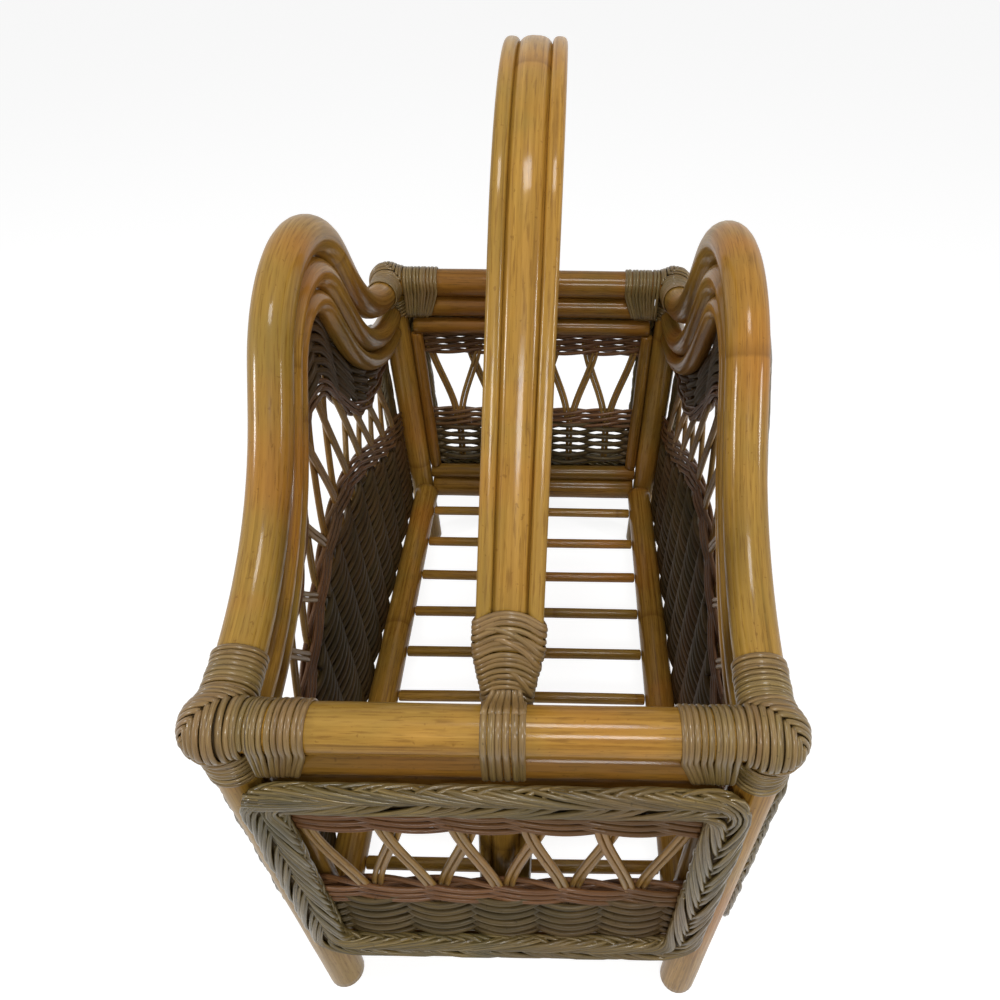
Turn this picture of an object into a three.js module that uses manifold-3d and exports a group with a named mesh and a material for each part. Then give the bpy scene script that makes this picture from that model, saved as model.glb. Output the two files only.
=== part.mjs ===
// A rattan magazine basket: bent and straight poles, lashed with cane, with woven panels and a slatted floor.
// Sizes are in millimetres. Z is up, Y runs along the basket, X runs across it.
// It stands on Z = 0 and the origin lies between its four feet.
import * as THREE from "three";
import { mergeVertices } from "three/addons/utils/BufferGeometryUtils.js";
import Module from "manifold-3d";

const wasm = await Module();
wasm.setup();

// Frame, measured between pole axes. The splays are how far the feet stand in from the rim
const rimWidth = 250;
const rimLength = 452;
const rimHeight = 301;
const floorHeight = 73;
const legSplayX = 10;
const legSplayY = 4;

// Pole diameters
const thickPole = 23.5;
const middlePole = 19;
const thinPole = 14.5;
const uprightPole = 11;
const slatPole = 9;
const gripPole = 17.4;
const gripSidePole = 6.6;

// Bell arch of the side rims
const archRise = 128;
const archAngle = THREE.MathUtils.degToRad(54);
const archTopRadius = 85;

// Handle
const gripHeight = 525;
const gripAngle = THREE.MathUtils.degToRad(57.8);
const gripTopRadius = 114;
const gripFootRadius = 100;
const gripShift = 4.5;
const gripLean = THREE.MathUtils.degToRad(2);
const gripSideOutset = 2.8;
const gripOverhang = 11;

// Cane lashings
const caneWidth = 2.3;
const caneThickness = 1.6;
const canePitch = 3;
const gripCaneWidth = 2.1;
const gripCanePitch = 2.9;
const lashingClearance = 0.7;
const lashingStart = 15.5;
const knuckleRadius = 18;
const railTurns = 9;
const archTurns = 7;
const legTurns = 5;
const bandTurns = 7;
const wrapTurns = 12;

// Woven panels: the band's top at the corners and its crown as shares of the height from floor to rim,
// the crown of the weave under the arch as a share of the arch's rise, and its ends as a share of that crown
const weaveThickness = 6;
const bandTopShare = 0.3465;
const bandCrownShare = 0.32;
const humpCrownShare = 0.39;
const humpLeastShare = 0.12;
const lowerRowHeight = 22;
const upperRowHeight = 13;
const ribDepth = 1.2;
const bandRows = 9;
const sideBandRows = 18;
const lowerRowStrands = 4;
const upperRowStrands = 3;

// Lattice of doubled canes: the pitch of its stakes as a share of the rim's width or length, and how far each
// cane leans from its stake as a share of the pitch
const latticeCaneWidth = 7;
const latticeCaneThickness = 3.4;
const endStakes = 5;
const endStakePitchShare = 0.147;
const endLeanShare = 0.65;
const sideStakes = 11;
const sideStakePitchShare = 0.08;
const sideLeanShare = 0.8;

// Plaited borders
const borderWidth = 18;
const borderThickness = 8.5;
const borderInset = 11.4;
const borderCorner = 22;
const endBorderDrop = 33;
const endBorderRise = 23;

// Floor
const slatCount = 9;
const slatPitchShare = 0.1;

// Fits and facets
const clearance = 0.3;
const overrun = 5;
const weldDistance = 0.001;
const leastSpan = 0.3;
const leastTurnShare = 0.001;
const copeShare = 0.35;
const thickSides = 12;
const bentSides = 10;
const thinSides = 7;
const smallSides = 6;
const turnPerStep = THREE.MathUtils.degToRad(10);
const loopCorners = 7;
const knuckleSides = 12;
const knuckleRings = 7;
const bellSteps = 16;
const borderCornerSteps = 3;

// Colours of varnished rattan, lashing cane, plaited border, twined rows and dark weave
const finishes = {
  pole: { color: "#b0863f", roughness: 0.35 },
  cane: { color: "#87735a", roughness: 0.4 },
  border: { color: "#7d6e48", roughness: 0.5 },
  lattice: { color: "#9a7a45", roughness: 0.45 },
  weave: { color: "#5f553a", roughness: 0.6 },
};

const root = new THREE.Group();

function addMesh(name, geometry, finish, mirrorX = 1, mirrorY = 1) {
  const material = new THREE.MeshStandardMaterial({ ...finishes[finish], metalness: 0 });
  const mesh = new THREE.Mesh(geometry, material);
  mesh.name = name;
  mesh.scale.set(mirrorX, mirrorY, 1);
  root.add(mesh);
}

// Planes of the panels: u runs along the panel, v is the height and w points out of the basket.
// The end panels lean out all the way up. The side panels lean out up to the rim and stand upright above it.
const leanX = legSplayX / rimHeight;
const leanY = legSplayY / rimHeight;
const footX = rimWidth / 2 - legSplayX;
const footY = rimLength / 2 - legSplayY;
const legX = (height) => footX + leanX * height;
const legY = (height) => footY + leanY * height;
const vector = (x, y, z) => new THREE.Vector3(x, y, z);
const endFrame = new THREE.Matrix4()
  .makeBasis(vector(-1, 0, 0), vector(0, leanY, 1), vector(0, 1, 0))
  .setPosition(0, footY, 0);
const onSide = (u, v, w) => vector(legX(Math.min(v, rimHeight)) + w, u, v);

function placedOnSide(geometry) {
  const places = geometry.attributes.position;
  for (let i = 0; i < places.count; i++)
    places.setXYZ(i, ...onSide(places.getX(i), places.getY(i), places.getZ(i)).toArray());
  geometry.computeVertexNormals();
  return geometry;
}

// Closed geometry to a solid and back, for joining and cutting
function solidOf(geometry) {
  const plain = geometry.clone();
  plain.deleteAttribute("normal");
  plain.deleteAttribute("uv");
  const merged = mergeVertices(plain, weldDistance);
  return new wasm.Manifold(
    new wasm.Mesh({
      numProp: 3,
      vertProperties: merged.attributes.position.array,
      triVerts: new Uint32Array(merged.index.array),
    }),
  );
}

function geometryOf(solid) {
  const mesh = solid.getMesh();
  const geometry = new THREE.BufferGeometry();
  geometry.setAttribute("position", new THREE.BufferAttribute(mesh.vertProperties, 3));
  geometry.setIndex(new THREE.BufferAttribute(mesh.triVerts, 1));
  const faceted = geometry.toNonIndexed();
  faceted.computeVertexNormals();
  return faceted;
}

const joined = (geometries) => geometryOf(geometries.map(solidOf).reduce((all, next) => all.add(next)));

const cut = (geometry, cutters) =>
  geometryOf(cutters.map(solidOf).reduce((left, cutter) => left.subtract(cutter), solidOf(geometry)));

// Straight pole between two points
function straightPole(start, end, diameter, sides) {
  const run = end.clone().sub(start);
  const pole = new THREE.CylinderGeometry(diameter / 2, diameter / 2, run.length(), sides);
  pole.applyQuaternion(new THREE.Quaternion().setFromUnitVectors(vector(0, 1, 0), run.clone().normalize()));
  const middle = start.clone().add(end).divideScalar(2);
  return pole.translate(middle.x, middle.y, middle.z);
}

// Curve through stations, counted evenly from one to the next, so that a bent pole has a ring at each
class StationCurve extends THREE.Curve {
  constructor(stations) {
    super();
    this.stations = stations;
  }
  getPoint(t, target = vector(0, 0, 0)) {
    const place = THREE.MathUtils.clamp(t, 0, 1) * (this.stations.length - 1);
    const index = Math.min(Math.floor(place), this.stations.length - 2);
    return target.lerpVectors(this.stations[index], this.stations[index + 1], place - index);
  }
  getPointAt(u, target) {
    return this.getPoint(u, target);
  }
  getTangentAt(u, target) {
    return this.getTangent(u, target);
  }
}

// Path of straight runs through corner points, each corner rounded with its own radius
function roundedPath(corners, radii) {
  const path = new THREE.Path().moveTo(corners[0].x, corners[0].y);
  radii.forEach((radius, index) => {
    const corner = corners[index + 1];
    const inward = corner.clone().sub(corners[index]).normalize();
    const outward = corners[index + 2].clone().sub(corner).normalize();
    const turn = Math.atan2(inward.cross(outward), inward.dot(outward));
    const tangent = radius * Math.tan(Math.abs(turn) / 2);
    const start = corner.clone().addScaledVector(inward, -tangent);
    const toCentre = new THREE.Vector2(-inward.y, inward.x).multiplyScalar(Math.sign(turn));
    const centre = start.clone().addScaledVector(toCentre, radius);
    const from = Math.atan2(start.y - centre.y, start.x - centre.x);
    path.lineTo(start.x, start.y);
    path.absarc(centre.x, centre.y, radius, from, from + turn, turn < 0);
  });
  const last = corners[corners.length - 1];
  return path.lineTo(last.x, last.y);
}

// Points of such a path, with a point at each end of a straight run and several on each bend
function stationsOf(path) {
  const points = [path.curves[0].getPoint(0)];
  for (const piece of path.curves) {
    const angle = piece.isEllipseCurve ? Math.abs(piece.aEndAngle - piece.aStartAngle) : 0;
    const steps = Math.max(1, Math.ceil(angle / turnPerStep - leastTurnShare));
    points.push(...piece.getPoints(steps).slice(1));
  }
  return points.filter((point, index) => index === 0 || point.distanceTo(points[index - 1]) > leastSpan);
}

const roundSection = (diameter, sides) =>
  new THREE.Shape(
    Array.from({ length: sides }, (_, side) => {
      const angle = (2 * Math.PI * (side + 0.5)) / sides;
      return new THREE.Vector2(Math.cos(angle), Math.sin(angle)).multiplyScalar(diameter / 2);
    }),
  );

const bentPole = (stations, diameter, sides) =>
  new THREE.ExtrudeGeometry(roundSection(diameter, sides), {
    steps: stations.length - 1,
    extrudePath: new StationCurve(stations),
    bevelEnabled: false,
  });

// Diameter of a cutter that leaves the clearance all round a pole, though its sides are flat
const cutterDiameter = (diameter, sides) => (diameter + 2 * clearance) / Math.cos(Math.PI / sides);

// Bell arch at a distance below the outer one, in the plane of a side panel
const middleDrop = (thickPole + middlePole) / 2 + clearance;
const thinDrop = middleDrop + (middlePole + thinPole) / 2 + clearance;
const lashingRoom = lashingClearance + caneThickness + clearance;
const archEnd = rimLength / 2 + thickPole / 2;

// Distance of a cane's middle line from the axis of the pole that it is wound round, at the loop's corners
const windingRadius = (diameter) =>
  (diameter / 2 + lashingClearance + caneThickness / 2) / Math.cos(Math.PI / loopCorners);
const nestedEnd = rimLength / 2 - windingRadius(thickPole) - caneThickness / 2 - 2 * clearance;

function bellArch(drop, dip, end) {
  const level = rimHeight - drop - dip;
  const bendEnd = Math.min(rimLength / 2, end);
  const peak = rimHeight + archRise;
  const flank = Math.cos(archAngle) * (peak - archTopRadius) + archTopRadius - drop;
  const corner = (flank - Math.cos(archAngle) * level) / Math.sin(archAngle);
  const footRadius = (bendEnd - corner) / Math.tan(archAngle / 2);
  const topRadius = archTopRadius - drop;
  const half = [new THREE.Vector2(-end, level), new THREE.Vector2(-corner, level)];
  const apex = new THREE.Vector2(0, flank / Math.cos(archAngle));
  const otherHalf = half.map((point) => new THREE.Vector2(-point.x, point.y)).reverse();
  const path = roundedPath([...half, apex, ...otherHalf], [footRadius, topRadius, footRadius]);
  const heightAt = (u) => {
    const side = Math.abs(u);
    const footReach = bendEnd - footRadius * Math.sin(archAngle);
    const topReach = topRadius * Math.sin(archAngle);
    if (side >= bendEnd) return level;
    if (side > footReach) return level + footRadius - Math.sqrt(footRadius ** 2 - (bendEnd - side) ** 2);
    if (side > topReach) return (flank - Math.sin(archAngle) * side) / Math.cos(archAngle);
    return peak - archTopRadius + Math.sqrt(topRadius ** 2 - side ** 2);
  };
  return { path, heightAt };
}

const outerArch = bellArch(0, 0, archEnd);
const middleArch = bellArch(middleDrop, lashingRoom, nestedEnd);
const innerArch = bellArch(thinDrop, lashingRoom, nestedEnd);
const inPlane = (points) => points.map((point) => vector(point.x, point.y, 0));
const archPole = (arch, diameter, sides) =>
  placedOnSide(bentPole(inPlane(stationsOf(arch.path)), diameter, sides));

function addArches() {
  const poles = [
    ["outer", outerArch, thickPole, bentSides],
    ["middle", middleArch, middlePole, thinSides],
    ["inner", innerArch, thinPole, thinSides],
  ];
  for (const [name, arch, diameter, sides] of poles) {
    const geometry = archPole(arch, diameter, sides);
    addMesh(`left_arch_${name}`, geometry, "pole", -1);
    addMesh(`right_arch_${name}`, geometry, "pole");
  }
}

// End rails: a thick pole coped against the arch poles, and two thinner ones below it between the legs,
// the lowest set down to leave room for the cane round the other two
const thinHeight = rimHeight - thinDrop - lashingRoom;
function endPole(halfLength, height, diameter, sides) {
  const pole = straightPole(vector(-halfLength, height, 0), vector(halfLength, height, 0), diameter, sides);
  return pole.applyMatrix4(endFrame);
}
const archCutter = archPole(outerArch, cutterDiameter(thickPole, bentSides), bentSides);
const mirrored = (geometry) => geometry.clone().rotateZ(Math.PI);
const railCutter = endPole(rimWidth / 2, rimHeight, cutterDiameter(thickPole, thickSides), thickSides);

function addEndRails() {
  const middleHeight = rimHeight - middleDrop;
  const reach = (height) => legX(height) - rimLength / 2 + nestedEnd;
  const rails = [
    ["top", cut(endPole(rimWidth / 2, rimHeight, thickPole, thickSides), [archCutter, mirrored(archCutter)])],
    ["middle", endPole(reach(middleHeight), middleHeight, middlePole, bentSides)],
    ["bottom", endPole(reach(thinHeight), thinHeight, thinPole, bentSides)],
  ];
  for (const [name, geometry] of rails) {
    addMesh(`front_rail_${name}`, geometry, "pole", 1, -1);
    addMesh(`back_rail_${name}`, geometry, "pole");
  }
}

// Legs: flat feet, and tops coped under the arch and the rail
const legTop = rimHeight - (thickPole / 2) * (1 - copeShare);
function legPole(top, diameter) {
  const pole = new THREE.CylinderGeometry(diameter / 2, diameter / 2, top, thickSides);
  pole.rotateX(Math.PI / 2).translate(0, 0, top / 2);
  const lean = new THREE.Matrix4().makeBasis(vector(1, 0, 0), vector(0, 1, 0), vector(leanX, leanY, 1));
  return pole.applyMatrix4(lean).translate(footX, footY, 0);
}

const corners = [
  ["front_left", -1, -1],
  ["front_right", 1, -1],
  ["back_left", -1, 1],
  ["back_right", 1, 1],
];

function addLegs() {
  const geometry = cut(legPole(legTop, thickPole), [archCutter, railCutter]);
  for (const [name, mirrorX, mirrorY] of corners)
    addMesh(`leg_${name}`, geometry, "pole", mirrorX, mirrorY);
}

// Floor: a rail along each side, a thick and a thin pole at each end, and round slats between the rails
const floorThinHeight = floorHeight + (thickPole + thinPole) / 2 + clearance;
const floorRailX = legX(floorHeight) - thickPole / 2 + uprightPole / 2;
const floorRailEnd = legY(floorHeight - thickPole / 2) - thickPole / 2 - clearance;

function addFloor() {
  const rail = straightPole(
    vector(floorRailX, -floorRailEnd, floorHeight),
    vector(floorRailX, floorRailEnd, floorHeight),
    thickPole,
    thickSides,
  );
  addMesh("floor_rail_left", rail, "pole", -1);
  addMesh("floor_rail_right", rail, "pole");
  const ends = [
    ["lower", floorHeight, thickPole, thickSides],
    ["upper", floorThinHeight, thinPole, bentSides],
  ];
  for (const [name, height, diameter, sides] of ends) {
    const reach = legX(height - diameter / 2) - thickPole / 2 - clearance;
    const geometry = endPole(reach, height, diameter, sides);
    addMesh(`floor_end_rail_front_${name}`, geometry, "pole", 1, -1);
    addMesh(`floor_end_rail_back_${name}`, geometry, "pole");
  }
  const slatEnd = floorRailX - thickPole / 2 - clearance;
  for (let slat = 0; slat < slatCount; slat++) {
    const y = (slat - (slatCount - 1) / 2) * slatPitchShare * rimLength;
    const start = vector(-slatEnd, y, floorHeight);
    const end = vector(slatEnd, y, floorHeight);
    addMesh(`floor_slat_${slat + 1}`, straightPole(start, end, slatPole, thinSides), "pole");
  }
}

// Uprights of the end panels, each beside a leg, standing on the upper floor pole
const uprightBottom = floorThinHeight + thinPole / 2 + clearance;
const uprightTop = thinHeight - thinPole / 2 - clearance;

function addUprights() {
  const beside = (thickPole + uprightPole) / 2 + clearance;
  const geometry = straightPole(
    vector(legX(uprightBottom) - beside, uprightBottom, 0),
    vector(legX(uprightTop) - beside, uprightTop, 0),
    uprightPole,
    thinSides,
  ).applyMatrix4(endFrame);
  for (const [name, mirrorX, mirrorY] of corners)
    addMesh(`upright_${name}`, geometry, "pole", -mirrorX, mirrorY);
}

// Handle: three poles side by side, from inside one end panel up over the basket to the other
const gripY = legY(floorHeight) - thickPole / 2 - clearance - gripPole / 2;
const gripSide = Math.sqrt(((gripPole + gripSidePole) / 2 + clearance) ** 2 - gripSideOutset ** 2);
const gripApex = gripHeight + gripTopRadius * (1 / Math.cos(gripAngle) - 1);
const gripCorner = gripApex - gripY * Math.tan(gripAngle);
const gripCorners = [
  [-gripY, floorHeight - gripOverhang],
  [-gripY, gripCorner],
  [0, gripApex],
  [gripY, gripCorner],
  [gripY, floorHeight - gripOverhang],
].map(([y, z]) => new THREE.Vector2(y, z));
const gripPath = roundedPath(gripCorners, [gripFootRadius, gripTopRadius, gripFootRadius]);
const gripLength = gripPath.getLength();

// Distance along the rising half of the handle at which it passes a height
function gripReach(height) {
  let [below, above] = [0, gripLength / 2];
  while (above - below > leastSpan) {
    const middle = (below + above) / 2;
    if (gripPath.getPointAt(middle / gripLength).y < height) below = middle;
    else above = middle;
  }
  return below;
}

// A place on or beside the handle: out of its middle line by a sideways and an outward distance
function besideGrip(point, tangent, sideways, outward) {
  const normal = new THREE.Vector2(-tangent.y, tangent.x).multiplyScalar(outward);
  const height = point.y + normal.y;
  const x = gripShift + sideways + Math.tan(gripLean) * (height - rimHeight);
  return vector(x, point.x + normal.x, height);
}

function gripStations(sideways, outward) {
  const points = stationsOf(gripPath);
  const last = points.length - 1;
  return points.map((point, index) => {
    const before = points[Math.max(index - 1, 0)];
    const after = points[Math.min(index + 1, last)];
    const tangent = after.clone().sub(before).normalize();
    return besideGrip(point, tangent, sideways, outward);
  });
}

function addHandle() {
  addMesh("handle_centre_pole", bentPole(gripStations(0, 0), gripPole, bentSides), "pole");
  const left = gripStations(-gripSide, gripSideOutset);
  const right = gripStations(gripSide, gripSideOutset);
  addMesh("handle_left_pole", bentPole(left, gripSidePole, smallSides), "pole");
  addMesh("handle_right_pole", bentPole(right, gripSidePole, smallSides), "pole");
}

// A tube of any section along stations, each a point with the direction that the section's top faces
function tubeRings(stations, section, closed) {
  const count = stations.length;
  return stations.map(({ point, out, stretch = 1 }, index) => {
    const before = stations[closed ? (index + count - 1) % count : Math.max(index - 1, 0)].point;
    const after = stations[closed ? (index + 1) % count : Math.min(index + 1, count - 1)].point;
    const tangent = after.clone().sub(before).normalize();
    const side = tangent.clone().cross(out).normalize();
    const up = side.clone().cross(tangent);
    return section.map(([x, y]) => point.clone().addScaledVector(side, x * stretch).addScaledVector(up, y));
  });
}

function tubeGeometry(rings, closed) {
  const sides = rings[0].length;
  const index = [];
  const spans = closed ? rings.length : rings.length - 1;
  for (let ring = 0; ring < spans; ring++) {
    const next = (ring + 1) % rings.length;
    for (let side = 0; side < sides; side++) {
      const other = (side + 1) % sides;
      const [a, b] = [ring * sides + side, ring * sides + other];
      const [c, d] = [next * sides + other, next * sides + side];
      index.push(a, d, c, a, c, b);
    }
  }
  const last = (rings.length - 1) * sides;
  for (let side = 1; side < sides - 1 && !closed; side++) {
    index.push(0, side, side + 1);
    index.push(last, last + side + 1, last + side);
  }
  const geometry = new THREE.BufferGeometry().setFromPoints(rings.flat());
  geometry.setIndex(index);
  geometry.computeVertexNormals();
  return geometry;
}

// Flat cane with a low ridge, its flat side down
const caneSection = (width) => [
  [-width / 2, -caneThickness / 2],
  [width / 2, -caneThickness / 2],
  [0, caneThickness / 2],
];

// Convex outline round some poles, seen along them, as the middle line of a cane drawn tight round them
function loopAround(poles) {
  const points = poles.flatMap(({ x, y, diameter }) => {
    const reach = windingRadius(diameter);
    return Array.from({ length: loopCorners }, (_, corner) => {
      const angle = (2 * Math.PI * (corner + 0.5)) / loopCorners;
      return new THREE.Vector2(x + reach * Math.cos(angle), y + reach * Math.sin(angle));
    });
  });
  const sorted = points.sort((a, b) => b.x - a.x || b.y - a.y);
  const turnsLeft = (a, b, c) => {
    const before = b.clone().sub(a);
    const after = c.clone().sub(b);
    return before.cross(after) > leastTurnShare * before.length() * after.length();
  };
  const halfHull = (list) =>
    list.reduce((hull, point) => {
      while (hull.length > 1 && !turnsLeft(hull.at(-2), hull.at(-1), point)) hull.pop();
      return [...hull, point];
    }, []);
  const hull = [...halfHull(sorted).slice(0, -1), ...halfHull([...sorted].reverse()).slice(0, -1)];
  return hull.map((point, index) => {
    const after = hull[(index + 1) % hull.length].clone().sub(point).normalize();
    const before = point.clone().sub(hull.at(index - 1)).normalize();
    const along = after.add(before).normalize();
    return { point, out: new THREE.Vector2(along.y, -along.x) };
  });
}

// One unbroken length of cane wound round such a loop, as rings. place(s, x, y) is the point at distance s
// along the poles and at x, y across them. The cane can start with a straight lead along the poles.
function wound(loop, place, { start, turns, pitch, width, lead = 0 }) {
  const station = (s, { point, out }) => {
    const middle = place(s, point.x, point.y);
    return { point: middle, out: place(s, point.x + out.x, point.y + out.y).sub(middle).normalize() };
  };
  const stations = lead ? [station(start - lead, loop[0]), station(start - width, loop[0])] : [];
  const first = stations.length;
  for (let step = first ? 1 : 0; step <= turns * loop.length; step++)
    stations.push(station(start + (pitch * step) / loop.length, loop[step % loop.length]));
  return { rings: tubeRings(stations, caneSection(width), false), loopLength: loop.length };
}

// Least gap between points on turns that lie side by side
function leastGap({ rings, loopLength }) {
  let least = Infinity;
  rings.forEach((ring, index) => {
    for (const other of rings.slice(index + loopLength - 1))
      for (const a of ring) for (const b of other) least = Math.min(least, a.distanceTo(b));
  });
  return least;
}

function report(name, windings) {
  const least = Math.min(...windings.map(leastGap));
  console.log(`${name}: least gap of the cane to itself ${least.toFixed(2)} mm`);
}

// Corner lashings: a rounded knuckle over the joint, and cane wound from it along the rail, the arch, the leg
const railLoop = loopAround([
  { x: 0, y: 0, diameter: thickPole },
  { x: 0, y: -middleDrop, diameter: middlePole },
]);
const legLoop = loopAround([{ x: 0, y: 0, diameter: thickPole }]);
const alongRail = (middle) => (s, x, y) => vector(middle + s, rimHeight + y, x).applyMatrix4(endFrame);
const alongLeg = (s, x, y) => vector(legX(rimHeight - s) + x, legY(rimHeight - s) + y, rimHeight - s);

function alongArch(s, x, y) {
  const share = (s + archEnd - rimLength / 2) / outerArch.path.getLength();
  const point = outerArch.path.getPointAt(share);
  const tangent = outerArch.path.getTangentAt(share);
  return onSide(-point.x + tangent.y * y, point.y + tangent.x * y, x);
}

function addCornerLashings() {
  const lead = lashingStart - knuckleRadius / 3;
  const sizes = { start: lashingStart, pitch: canePitch, width: caneWidth, lead };
  const windings = [
    wound(railLoop, alongRail(-rimWidth / 2), { ...sizes, turns: railTurns }),
    wound(legLoop, alongArch, { ...sizes, turns: archTurns }),
    wound(legLoop, alongLeg, { ...sizes, turns: legTurns }),
  ];
  report("corner lashing", windings);
  const ball = new THREE.SphereGeometry(knuckleRadius, knuckleSides, knuckleRings);
  ball.rotateX(Math.PI / 2).translate(rimWidth / 2, rimLength / 2, rimHeight);
  const legCutter = legPole(rimHeight, cutterDiameter(thickPole, thickSides));
  const knuckle = cut(ball, [archCutter, railCutter, legCutter]);
  const geometry = joined([knuckle, ...windings.map(({ rings }) => tubeGeometry(rings, false))]);
  for (const [name, mirrorX, mirrorY] of corners)
    addMesh(`lashing_${name}`, geometry, "cane", mirrorX, mirrorY);
}

// Handle lashings: a band of cane round the end rail, and a wrap round the three poles above it
function addHandleLashings() {
  const bandWidth = gripCanePitch * bandTurns;
  const band = wound(railLoop, alongRail(-gripShift), {
    start: -bandWidth / 2,
    turns: bandTurns,
    pitch: gripCanePitch,
    width: gripCaneWidth,
  });
  const wrapLoop = loopAround([
    { x: 0, y: 0, diameter: gripPole },
    { x: -gripSide, y: gripSideOutset, diameter: gripSidePole },
    { x: gripSide, y: gripSideOutset, diameter: gripSidePole },
  ]);
  const alongGrip = (s, x, y) => {
    const point = gripPath.getPointAt(s / gripLength);
    return besideGrip(point, gripPath.getTangentAt(s / gripLength), x, y);
  };
  const wrap = wound(wrapLoop, alongGrip, {
    start: gripReach(rimHeight),
    turns: wrapTurns,
    pitch: gripCanePitch,
    width: gripCaneWidth,
  });
  report("handle band", [band]);
  report("handle wrap", [wrap]);
  const pieces = [
    ["band", tubeGeometry(band.rings, false), -1],
    ["wrap", tubeGeometry(wrap.rings, false), 1],
  ];
  for (const [name, geometry, front] of pieces) {
    addMesh(`handle_${name}_front`, geometry, "cane", 1, front);
    addMesh(`handle_${name}_back`, geometry, "cane", 1, -front);
  }
}

// Woven panels lie on the outer side of the uprights, between the legs
const weaveInner = uprightPole / 2 + clearance;
const weaveOuter = weaveInner + weaveThickness;
const endHalfWidth = (height) => legX(height) - thickPole / 2 - clearance;
const sideHalfLength = legY(floorHeight) - thickPole / 2 - clearance;
const bandTop = floorHeight + bandTopShare * (rimHeight - floorHeight);
const bandCrown = bandCrownShare * (rimHeight - floorHeight);
const humpCrown = humpCrownShare * archRise;
const bell = (u) => Math.cos((Math.PI * u) / rimLength) ** 2;

// Strip of a panel with rows of weave as ribs on both faces, its ends slanting with the legs
function ribbedStrip(bottom, top, rows, halfWidthAt = endHalfWidth) {
  const rowHeight = (top - bottom) / rows;
  const outline = (face, depth) =>
    Array.from({ length: 2 * rows + 1 }, (_, step) => {
      const groove = step % 2 ? 0 : depth;
      return new THREE.Vector2(face + groove, bottom + (step * rowHeight) / 2);
    });
  const outer = outline(weaveOuter, -ribDepth);
  const inner = outline(weaveInner, ribDepth);
  const shape = new THREE.Shape([...outer, ...inner.reverse()]);
  const halfWidth = halfWidthAt(bottom);
  const strip = new THREE.ExtrudeGeometry(shape, { depth: 2 * halfWidth, bevelEnabled: false });
  strip.translate(0, 0, -halfWidth);
  strip.applyMatrix4(new THREE.Matrix4().makeBasis(vector(0, 0, 1), vector(0, 1, 0), vector(-1, 0, 0)));
  const places = strip.attributes.position;
  for (let i = 0; i < places.count; i++)
    places.setX(i, (places.getX(i) * halfWidthAt(places.getY(i))) / halfWidth);
  return strip;
}

// Strip of a side panel between two curves of height over the length
const stepShares = Array.from({ length: bellSteps + 1 }, (_, step) => (2 * step) / bellSteps - 1);
const sideSteps = stepShares.map((share) => sideHalfLength * share);

function curvedStrip(lower, upper, reach = sideHalfLength + clearance) {
  const steps = sideSteps.filter((u) => Math.abs(u) < reach);
  const along = (height) => steps.map((u) => new THREE.Vector2(u, height(u)));
  const shape = new THREE.Shape([...along(lower), ...along(upper).reverse()]);
  const strip = new THREE.ExtrudeGeometry(shape, { depth: weaveThickness, bevelEnabled: false });
  return strip.translate(0, 0, weaveInner);
}

// Doubled cane of the lattice, a flat bar in the front or the back layer of the panel
function latticeCane(from, to, front) {
  const half = latticeCaneWidth / 2;
  const rise = latticeCaneThickness / 2;
  const section = [
    [-half, -rise],
    [half, -rise],
    [half, rise],
    [-half, rise],
  ];
  const w = front ? weaveOuter - rise : weaveInner + rise;
  const stations = [from, to].map(([u, v]) => ({ point: vector(u, v, w), out: vector(0, 0, 1) }));
  return tubeGeometry(tubeRings(stations, section, false), false);
}

// Canes from each stake to both sides, from inside the lower row to inside the upper row
function latticeCanes({ stakes, pitch, lean, lower, upper, reach }) {
  const canes = [];
  for (let stake = 0; stake < stakes; stake++) {
    const u = (stake - (stakes - 1) / 2) * pitch;
    for (const way of [-1, 1]) {
      const top = u + way * lean * pitch;
      if (Math.abs(top) < reach) canes.push(latticeCane([u, lower(u)], [top, upper(top)], way > 0));
    }
  }
  return canes;
}

function addEndPanels() {
  const latticeBottom = bandTop + lowerRowHeight;
  const weaveTop = uprightTop;
  const latticeTop = weaveTop - upperRowHeight;
  const band = ribbedStrip(uprightBottom, bandTop, bandRows).applyMatrix4(endFrame);
  const canes = latticeCanes({
    stakes: endStakes,
    pitch: endStakePitchShare * rimWidth,
    lean: endLeanShare,
    lower: () => latticeBottom - lowerRowHeight / 2,
    upper: () => latticeTop + upperRowHeight / 2,
    reach: endHalfWidth(latticeTop) - latticeCaneWidth,
  });
  const lattice = joined([
    ribbedStrip(bandTop + clearance, latticeBottom, lowerRowStrands),
    ribbedStrip(latticeTop, weaveTop, upperRowStrands),
    ...canes,
  ]).applyMatrix4(endFrame);
  for (const [name, mirrorY] of [
    ["front", -1],
    ["back", 1],
  ]) {
    addMesh(`${name}_woven_band`, band, "weave", 1, mirrorY);
    addMesh(`${name}_lattice`, lattice, "lattice", 1, mirrorY);
  }
}

// Woven band of a side panel: a ribbed strip, cut off along the curve of its top edge
function sideBand() {
  const strip = ribbedStrip(floorHeight, bandTop + bandCrown, sideBandRows, () => sideHalfLength);
  const edge = sideSteps.map((u) => new THREE.Vector2(u, lowEdge(u) - clearance));
  const beyond = sideHalfLength + overrun;
  const outline = new THREE.Shape([
    new THREE.Vector2(-beyond, edge[0].y),
    ...edge,
    new THREE.Vector2(beyond, edge[0].y),
    new THREE.Vector2(beyond, rimHeight),
    new THREE.Vector2(-beyond, rimHeight),
  ]);
  const depth = weaveThickness + 2 * overrun;
  const above = new THREE.ExtrudeGeometry(outline, { depth, bevelEnabled: false });
  return cut(strip, [above.translate(0, 0, weaveInner - overrun)]);
}

const lowEdge = (u) => bandTop + bandCrown * bell(u);
const archUnderside = (u) => innerArch.heightAt(u) - thinPole / 2 - clearance;
const highEdge = (u) => archUnderside(u) - humpCrown * bell(u);

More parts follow.
